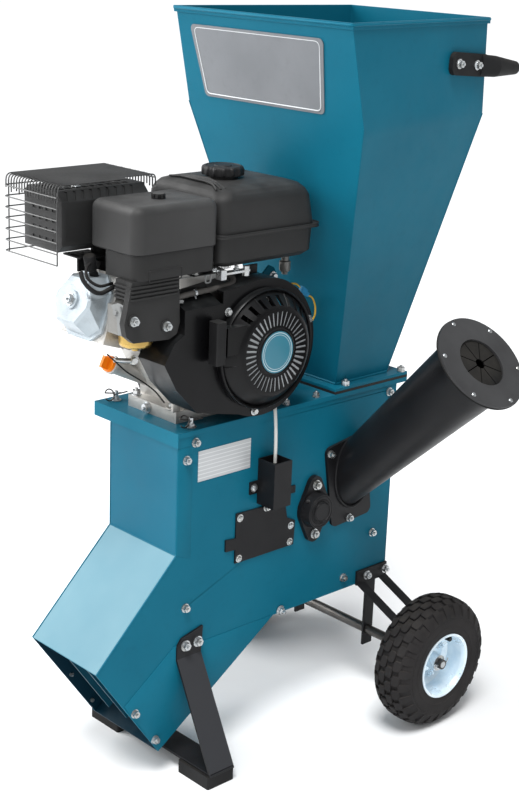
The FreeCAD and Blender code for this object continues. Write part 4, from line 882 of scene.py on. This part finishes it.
def make_feed_mouth_details():
    """Rivets on the mouth ring, the rubber and its edge, and the weld where the tube meets its flange."""
    centre = node_middle("feed_ring")
    axis = Vector((0, -1, 1)).normalized()
    across = Vector((1, 0, 0))
    lift = across.cross(axis)
    rivets = Form()
    for turn in around(6, 20):
        at = centre + (across * cos(turn) + lift * sin(turn)) * 69.0 + axis * 2.0
        rivets.lathe([(3.6, 0), (3.5, 0.8), (2.6, 1.6), (1.2, 1.9), (0, 2.0)], at, axis, 20)
    rivets.build("mouth_rivets", ZINC)
    rim = Form()
    rim.lathe([(75.2, -2.6), (76.6, -2.2), (77.0, -0.6), (76.2, 0.4), (75.0, 0.4)],
              centre - axis * 2.0, axis, 96, closed=True)
    rim.build("mouth_gasket_edge", MOUTH_RUBBER)
    make_flap(axis)
    weld = Form()
    foot = []
    tube_radius = 43.0
    flange_face = -6.0
    for turn in around(90):
        # where the tube's outside meets the face of its flange
        side_ways = tube_radius * cos(turn)
        up_ways = tube_radius * sin(turn)
        point = Vector((366.0, 0, 400.0)) + across * side_ways + lift * up_ways
        foot.append(point + axis * ((flange_face - point.y) / axis.y))
    weld.tube(foot, 2.4, 7, closed=True)
    weld.build("tube_weld", BLACK_PAINT)


def make_bearing_details():
    """Ring beads and a grease nipple on each bearing housing."""
    form = Form()
    for label, side in (("near", -1), ("far", 1)):
        low, high = node_box("bearing_" + label)
        centre = (low + high) / 2
        face = low.y if side < 0 else high.y
        out = Vector((0, side, 0))
        at = Vector((centre.x, face, centre.z))
        near_rings = ((24.5, -2.2), (20.0, -2.2), (16.5, 0.6))
        far_rings = ((25.5, 0.0), (21.0, 0.0), (17.0, 0.4))
        for radius, height in near_rings if side < 0 else far_rings:
            form.lathe([(radius + 0.9 * cos(a), height + 0.9 * sin(a)) for a in around(8)],
                       at, out, 56, closed=True)
        form.hexagon(at + Vector((-20, -side * 12, 18)), Vector((-0.6, side * 0.5, 0.6)), 6.0, 4.0, stem=3.5)
    form.build("bearing_details", BLACK_PAINT)


def make_guard_details():
    """Screws on the face of the belt guard."""
    low, high = node_box("belt_guard")
    form = Form()
    for share in (0.12, 0.3, 0.7, 0.88):
        x = low.x + (high.x - low.x) * share
        z = high.z - (high.z - low.z) * share
        form.screw((x, high.y, z), (0, 1, 0), 3.6)
    form.build("guard_screws", ZINC)


# ---------------------------------------------------------------- engine

WIRE = 1.0                          # radius of the guard's wires


def make_silencer_cage():
    """Wire guard round the silencer: wires over the top, level wires on the front and the far side."""
    low, high = node_box("silencer_guard")
    left, right = low.x + WIRE + 0.2, high.x - WIRE - 0.2
    top, bottom = high.z - WIRE - 0.2, low.z + WIRE + 0.2
    near, far = low.y + WIRE + 2.0, high.y - WIRE - 0.2
    form = Form()
    count = 20
    for index in range(count):
        y = near + (far - 2.6 - near) * index / (count - 1)
        drop = 22.0 + 3.0 * sin(1.9 * index)
        tail = 18.0 + 2.0 * sin(2.3 * index)
        start = right if y > 90 else right - 60
        ends = [(start, y, top - tail), (start, y, top)] if y > 90 else [(start, y, top)]
        form.tube(arc_path(ends + [(left + 2.5, y, top), (left + 2.5, y, top - drop)], 9.0, 4), WIRE, 8)
    for index in range(7):
        z = bottom + (top - 16 - bottom) * index / 6
        form.tube(arc_path([(left, near - 1.5, z), (left, far, z), (right - 20, far, z)], 8.0, 4), WIRE, 8)
    for x in (left + 60, right - 24):
        form.tube([(x, far - 2.5, top - 2.6), (x, far - 2.5, bottom - 1.0)], WIRE, 8)
    for y in (near + 1.5, far - 9):
        form.tube([(left + 2.5, y, top - 10), (left + 2.5, y, bottom - 1.0)], WIRE, 8)
    for x in (left + 14, left + 96, right - 10):
        form.tube([(x, near, top - 2.5), (x, far - 1, top - 2.5)], WIRE, 8)
    form.build("silencer_cage", WIRE_GREY, replaces=("silencer_guard",))


def make_silencer_shield():
    """Silencer body, its port pipe and pad, inside a pierced shield with a sloping near edge."""
    low, high = node_box("silencer")
    left, near, top, far = low.x + 0.5, low.y + 0.2, high.z - 0.2, low.y + 87.8
    floor_z = 802.2
    right = left + 151.0
    section = [(near + 10, floor_z), (near, floor_z + 10), (near, top - 14), (near + 14, top), (far - 8, top),
               (far, top - 8), (far, floor_z)]
    body = Form()
    middle = ((near + far) / 2, (floor_z + top) / 2)
    body.slab([(left + 3, middle[0] + 0.95 * (y - middle[0]), middle[1] + 0.95 * (z - middle[1]))
               for y, z in section], (right - left - 6, 0, 0), bevel=3.0)
    body.rod((-52, 118, 805), (-52, 118, 776.2), 12.8, 28)
    # frame of the cylinder's leaning head, measured along its bore from the crankshaft
    ahead, rise, reach = 0.950, 0.312, 206.5
    bank = Matrix(((rise, 0, -ahead, 138 - reach * ahead), (0, 1, 0, 92),
                   (ahead, 0, rise, 652 + reach * rise), (0, 0, 0, 1)))
    body.box((48.6, 4, 0.1), (60.4, 48, 28.9), bevel=1.0, place=bank)
    body.build("silencer_body", HEAT_PAINT)
    shell = Form()
    shell.slab([(left, y, z) for y, z in section], (right - left, 0, 0), bevel=1.2)
    shield = shell.build("silencer_shield", SHIELD_GREY, sharp=30, replaces=("silencer",))
    cutter = Form()
    for row in range(3):
        for column in range(8):
            x = left + 16 + 16 * column
            z = 824 + 15 * row
            cutter.rod((x - 3.5, near - 4, z), (x - 3.5, near + 1.6, z), 3.4, 12)
            cutter.box((x - 3.5, near - 4, z - 3.4), (x + 3.5, near + 1.5, z + 3.4))
            cutter.rod((x + 3.5, near - 4, z), (x + 3.5, near + 1.7, z), 3.4, 12)
    for column in range(9):
        x = left + 12 + 14 * column
        slope = Matrix.Translation((x, near + 7, top - 7)) @ Matrix.Rotation(radians(45), 4, "X")
        cutter.box((-2.2, -8, -1.4), (2.2, 8, 6), place=slope @ Matrix.Rotation(radians(-24), 4, "Z"))
    for row in range(4):
        for column in range(4):
            y = near + 18 + 15 * column
            z = 817 + 14 * row
            cutter.box((left - 4, y - 4.5, z - 2.6), (left + 1.5, y + 4.5, z + 2.6))
    for column in range(9):
        for y in (near + 24, near + 42, near + 60):
            x = left + 14 + 14 * column
            cutter.box((x - 4.5, y - 5, top - 1.4), (x + 4.5, y + 5, top + 4))
    carve(shield, cutter)
    bolts = Form()
    bolts.hexagon((left + 46, near + 31, top), (0, 0, 1), 8.0, 4.0, washer=7.0)
    bolts.hexagon((left + 96, near + 52, top), (0, 0, 1), 8.0, 4.0, washer=7.0)
    bolts.build("silencer_bolts", ZINC)
    bracket = Form()
    bracket.box((-104, near + 4, 790), (-60, near + 44, 793), bevel=1.0)
    bracket.box((-98, near + 16, 770), (-80, near + 20, 792), bevel=1.0)
    bracket.build("silencer_bracket", HEAT_PAINT)


def make_air_cleaner_details():
    """Lip under the lid, frame of the recess in the base and the thumb nut on top."""
    low, high = node_box("air_cleaner_cover")
    form = Form()
    seam = low.z - 0.6
    ring = arc_path([(low.x + 1.2, low.y + 1.2, seam), (high.x - 1.2, low.y + 1.2, seam),
                     (high.x - 1.2, high.y - 1.2, seam), (low.x + 1.2, high.y - 1.2, seam)],
                    19.0, 8, closed=True)
    form.tube(ring, 1.3, 8, closed=True)
    form.build("lid_lip", BLACK_PLASTIC, sharp=60)
    panel = Form()
    near = -18.0
    recess = [(-73, near, 775), (-16, near, 775), (-16, near, 791), (-73, near, 791)]
    panel.tube(arc_path(recess, 3.0, 4, closed=True), 0.9, 6, closed=True)
    panel.build("recess_frame", DARK_PLASTIC, sharp=60)
    nut = Form()
    centre = Vector((-20, 30, high.z - 7))
    nut.lathe([(0, 0), (10, 0), (10, 1.6), (5.5, 2.0), (5.5, 4.6), (0, 4.6)], centre, segments=28)
    for angle in around(6):
        at = centre + Vector((8.2 * cos(angle), 8.2 * sin(angle), 0))
        place = Matrix.Translation(at) @ Matrix.Rotation(angle, 4, "Z")
        nut.box((-1.4, -2.6, 1.0), (1.4, 2.6, 6.8), bevel=0.6, place=place)
    nut.build("lid_nut", BLACK_PLASTIC)


def make_tank_details():
    """Raised ribs on the tank's crown, the rolled edge of its seam and the filter cup under it."""
    form = Form()
    for index, x in enumerate((78.0, 86.0, 94.0)):
        reach = 6 * index
        form.tube([(x - 12, 8, 884.0), (x - 3, 26 + reach, 888.4), (x, 44 + reach, 889.6),
                   (x, 100 - reach, 889.6), (x - 4, 120 - reach, 887.6)],
                  2.6, 10, taper=lambda t: 0.55 + 0.45 * sin(pi * t))
    form.build("tank_ribs", DARK_PLASTIC, sharp=60)
    low, high = node_box("fuel_tank")
    edge = Form()
    corners = [(low.x + 0.9, low.y + 0.9, 821.5), (high.x - 0.9, low.y + 0.9, 821.5),
               (high.x - 0.9, high.y - 0.9, 821.5), (low.x + 0.9, high.y - 0.9, 821.5)]
    for lift in (-2.2, 2.2):
        line = [Vector(corner) + Vector((0, 0, lift)) for corner in corners]
        edge.tube(arc_path(line, 19.0, 8, closed=True), 0.9, 6, closed=True)
    edge.build("tank_seam", DARK_PLASTIC, sharp=60)
    cup = Form()
    cup.lathe([(0, 0), (6.5, 0), (8.5, 3), (8.5, 16), (6, 17), (6, 24), (0, 24)], (226, 30, 744))
    cup.hexagon((226, 30, 740), (0, 0, 1), 8.0, 4.0)
    cup.build("fuel_filter_cup", DULL_CAST)


def make_fuel_cap():
    """Scalloped filler cap with a stepped, ribbed top."""
    low, high = node_box("fuel_cap")
    centre = (low + high) / 2
    radius = (high.x - low.x) / 2 - 0.1
    form = Form()
    rings = []
    stations = ((0.90, 0.0, 0.2), (0.97, 0.6, 0.6), (1.0, 2.4, 1.0), (1.0, 8.8, 1.0), (0.965, 11.4, 0.8),
                (0.89, 13.2, 0.3), (0.80, 13.8, 0.0), (0.77, 12.9, 0.0), (0.42, 12.9, 0.0), (0.39, 14.2, 0.0),
                (0.12, 14.6, 0.0))
    for share, z, scallop in stations:
        ring = []
        for angle in around(168):
            wave = max(0.0, cos(14 * angle)) ** 0.7
            reach = radius * share - 2.0 * scallop * (1.0 - wave)
            ring.append(Vector((centre.x + reach * cos(angle), centre.y + reach * sin(angle),
                                low.z + z)))
        rings.append(ring)
    form.loops(rings, capped=True)
    form.build("fuel_cap_shape", BLACK_PLASTIC, "fuel_cap", 42, ("fuel_cap",))


def make_recoil_details():
    """Raised rings, bright fan guard behind the slots, screws and vent lips of the pull-start cover."""
    centre = node_middle("recoil_disc")
    middle = Vector((centre.x, 0, centre.z))
    toward = (0, -1, 0)
    bright = Form()
    bright.lathe([(36, 48.6), (60.5, 48.6), (60.5, 49.3), (36, 49.3)], middle, toward, 72, closed=True)
    bright.build("fan_guard", PALE_METAL)
    rings = Form()
    rings.lathe([(63.5, 47.6), (63.6, 50.4), (62.0, 50.9), (61.0, 50.5), (60.9, 49.2)], middle, toward, 96)
    rings.lathe([(31.3, 50.8), (31.5, 52.4), (33.2, 52.4), (35.2, 51.0), (35.2, 50.6)], middle, toward, 72)
    rings.lathe([(84.6, 27.6), (85.4, 32.0), (88.0, 33.4), (89.6, 31.6), (89.8, 27.6)], middle, toward, 96)
    rings.build("recoil_rings", SHROUD_BLACK, sharp=60)
    ribs = Form()
    for angle in around(9, 30.0):
        # the lower slots have no rib
        if sin(angle) < -0.2:
            continue
        inner = middle + polar(66, angle, -47.4)
        outer = middle + polar(83, angle, -30.6)
        ribs.tube([inner, inner.lerp(outer, 0.5) + Vector((0, -0.8, 0)), outer], 1.6, 8)
    ribs.build("recoil_ribs", SHROUD_BLACK, sharp=60)
    screws = Form()
    for degrees in (138, 262, 18):
        screws.hexagon(middle + polar(95.0, radians(degrees), -22.0), toward, 8.0, 4.0, washer=6.5)
    screws.build("recoil_screws", ZINC)


def make_linkage():
    """Governor rod, springs and brackets between the carburettor and the throttle plate."""
    rods = Form()
    rods.tube([(-4, 5, 767.4), (60, 5, 767.0), (118, 5, 766.4)], 0.8, 8)
    rods.tube(flowing([(-1, 2, 772), (20, 1, 772.5), (44, 0, 769), (60, 0, 771)]), 0.7, 6)
    rods.tube(arc_path([(40, -3, 768), (40, -3, 757), (50, -3, 757), (50, -3, 768)], 4.0, 4), 1.3, 8)
    coil = []
    for step in range(97):
        turn = 2 * pi * step / 8
        coil.append((66 + step * 0.34, 12 + 3.0 * cos(turn), 771.4 + 3.0 * sin(turn)))
    rods.tube(coil, 0.45, 5)
    rods.tube([(-28, -10, 741.4), (-7, -10, 738.6)], 2.6, 12)
    rods.build("throttle_rods", DULL_ZINC)
    stand = Form()
    stand.box((18, -4, 768.5), (62, 22, 770.5), bevel=0.6)
    stand.box((118, 0, 758), (142, 3, 772), bevel=0.8)
    stand.build("throttle_stand", HEAT_PAINT)
    bolts = Form()
    for x, y, z in ((23, -1, 771), (58, -1, 771), (98, -3, 769.5)):
        bolts.hexagon((x, y, z), (0, 0, 1), 6.0, 4.0, washer=4.8)
    bolts.build("throttle_bolts", ZINC)
    plates = Form()
    outline = ((-5, 706), (10, 701), (12, 724), (27, 740), (10, 746), (-6, 744))
    plates.slab([(-103.4, y, z) for y, z in outline], (2.0, 0, 0), bevel=0.7)
    plates.tube(flowing([(-105, 4, 742), (-106, 0, 734), (-108, -3, 728), (-105, -2, 716)]), 2.0, 8)
    plates.hexagon((-103.4, 14, 732), (-1, 0, 0), 7.0, 3.0)
    plates.build("choke_bracket", DULL_ZINC)


def make_hoses_and_leads():
    """Fuel hose and its clip, dark leads, the switch wire and its plug, the tank bracket and bolts."""
    hose = Form()
    hose.tube(flowing([(-14, -6, 744.5), (14, -5, 746), (41, -4, 746.6), (74, -3, 747.5), (92, -2, 750.5),
                       (97, 4, 757), (88, 14, 764), (78, 26, 770)], 8), 4.0, 14)
    hose.build("fuel_hose", HOSE_GREY, sharp=60)
    clip = Form()
    clip.lathe([(4.1, -2), (5.0, -2), (5.0, 2), (4.1, 2)], (19.3, -5, 746.2), (1, 0, 0.05), 20, closed=True)
    clip.tube([(19.3, -6, 742), (19.3, -8, 738.5)], 1.0, 6)
    clip.build("hose_clip", ZINC)
    lead = Form()
    lead.tube(flowing([(-124, 66, 781), (-124, 60, 770), (-117, 52, 758), (-104, 48, 752), (-84, 46, 758),
                       (-62, 48, 763), (-30, 50, 762)], 8), 3.1, 12)
    lead.tube(flowing([(-96, 78, 790), (-108, 74, 782), (-112, 66, 770), (-100, 56, 760),
                       (-80, 52, 762)], 8), 2.2, 10)
    lead.rod((-98, 82, 798), (-92, 84, 776), 8.5, 20, 1.5)
    lead.rod((-92, 84, 778), (-84, 86, 764), 6.0, 16, 1.0)
    lead.tube(flowing([(-94, 45, 665), (-82, 41, 652.6), (-66, 38, 637), (-40, 37, 619), (-16, 36, 600),
                       (4, 38, 578)], 8), 1.1, 8)
    lead.build("engine_leads", GRIP_RUBBER, sharp=60)
    wire = Form()
    wire.tube(flowing([(234, 34, 716), (246, 36, 721), (258, 36, 719), (266, 36, 713)]), 1.3, 8)
    wire.tube(flowing([(284, 36, 698), (294, 36, 692), (301, 36, 678), (300, 36, 662), (288, 38, 650),
                       (268, 42, 646), (240, 60, 646)]), 1.3, 8)
    wire.build("switch_wire", YELLOW_WIRE, sharp=60)
    plug = Form()
    place = Matrix.Translation((274, 36, 706)) @ Matrix.Rotation(radians(38), 4, "Y")
    plug.box((-8, -4, -5), (5, 4, 5), bevel=1.0, place=place)
    plug.box((3, -3, -3.4), (12, 3, 3.4), bevel=0.8, place=place)
    plug.build("switch_plug", BLUE_PLUG)
    bracket = Form()
    outline = [(196, 40, 724), (190, 40, 742), (204, 40, 754), (214, 40, 750), (226, 40, 728), (214, 40, 716)]
    bracket.slab(outline, (0, 4, 0), bevel=1.0)
    bracket.build("tank_bracket", TEAL)
    bolt = Form()
    bolt.hexagon((211, 39.5, 737), (0, -1, 0), 9.0, 5.0, washer=7.5)
    bolt.rod((-83, 44, 655), (-54, 40, 650), 3.4, 14, 0.6)
    bolt.hexagon((-52, 39.5, 651), (-0.3, -1, 0), 9.0, 5.0, washer=7.0)
    bolt.build("engine_bolts", ZINC)


def make_crankcase_details():
    """Ribs and bosses cast on the near side of the crankcase foot, and the collar round the dipstick."""
    form = Form()
    for x, top in ((20, 596), (212, 600)):
        form.slab([(x, 37.5, 559), (x + 14, 37.5, 559), (x + 10, 40.5, top), (x + 4, 40.5, top)],
                  (0, 6, 0), bevel=1.5)
    form.rod((33, 54, 559), (33, 54, 562.5), 11, 24, 1.0)
    form.rod((216.5, 54, 559), (216.5, 54, 562.5), 8.3, 24, 1.0)
    form.lathe([(12.6, 0), (14.2, 1.0), (14.2, 6.0), (12.4, 7.0)], (-14, 134, 614.1),
               (-0.9048, 0, 0.4258), 28, closed=True)
    form.build("crankcase_bosses", CAST)


# ---------------------------------------------------------------- everything in its place

for wheel in ("near", "far"):
    make_tyre(wheel)
    make_rim_details(wheel)
make_axle_ends()
make_wall_seams()
make_hopper_details()
make_badge_border()
make_deck_pins()
make_wall_screws()
make_feed_mouth_details()
make_bearing_details()
make_guard_details()
make_silencer_cage()
make_silencer_shield()
make_air_cleaner_details()
make_tank_details()
make_fuel_cap()
make_recoil_details()
make_linkage()
make_hoses_and_leads()
make_crankcase_details()


# ---------------------------------------------------------------- camera, light and floor

def make_camera():
    """Camera at the photograph's place: in front of the chute and to the near side, looking a little down."""
    heading = radians(43.5965)
    pitch = radians(17.4025)
    roll = radians(2.1945)
    ahead = Vector((sin(heading) * cos(pitch), cos(heading) * cos(pitch), -sin(pitch)))
    level = ahead.cross(Vector((0, 0, 1))).normalized()
    upright = level.cross(ahead)
    right = level * cos(roll) + upright * sin(roll)
    up = upright * cos(roll) - level * sin(roll)
    data = bpy.data.cameras.new("camera")
    data.lens = 69.32
    data.sensor_width = 36.0
    data.clip_start = 0.05
    data.clip_end = 100.0
    camera = in_scene("camera", data)
    camera.matrix_world = Matrix.Translation(spot(-1333.0, -1563.4, 1246.1)) @ Matrix(
        (right, up, -ahead)).transposed().to_4x4()
    bpy.context.scene.camera = camera


def aim(lamp, direction):
    """Turn a lamp so that it shines along a direction."""
    lamp.rotation_mode = "QUATERNION"
    lamp.rotation_quaternion = direction.to_track_quat("-Z", "Y")


def softbox(name, position, target, size, watts):
    """Rectangular lamp that shines at a point."""
    data = bpy.data.lights.new(name, "AREA")
    data.shape = "RECTANGLE"
    data.size, data.size_y = size
    data.energy = watts
    lamp = in_scene(name, data)
    lamp.location = spot(*position)
    aim(lamp, spot(*target) - spot(*position))


def make_studio():
    """Pale world, a soft sun, two softboxes and a white floor."""
    world = bpy.data.worlds.new("studio")
    world.use_nodes = True
    backdrop = world.node_tree.nodes["Background"]
    backdrop.inputs["Color"].default_value = (0.97, 0.98, 1.0, 1.0)
    backdrop.inputs["Strength"].default_value = 0.42
    bpy.context.scene.world = world
    bpy.context.scene.view_settings.view_transform = "Standard"
    overhead = bpy.data.lights.new("overhead", "SUN")
    overhead.energy = 2.9
    overhead.angle = radians(24)
    aim(in_scene("overhead", overhead), Vector((0.36, 0.26, -1.0)))
    middle = (230, 80, 500)
    softbox("key", (-2300, -1300, 1900), middle, (1.2, 1.2), 14.0)
    softbox("chute_sheen", (-1250, 1950, 1950), (-70, 80, 280), (2.4, 2.0), 90.0)
    floor = bpy.data.meshes.new("floor")
    half = 30.0
    corners = [(-half, -half, 0), (half, -half, 0), (half, half, 0), (-half, half, 0)]
    floor.from_pydata(corners, [], [(0, 1, 2, 3)])
    stage = in_scene("floor", floor)
    finish = Finish("studio_floor", ((240, 241, 242), (244, 245, 245)), 0.75, specular=0.2)
    stage.data.materials.append(finish.done(grain=60.0, depth=0.02))


make_camera()
make_studio()
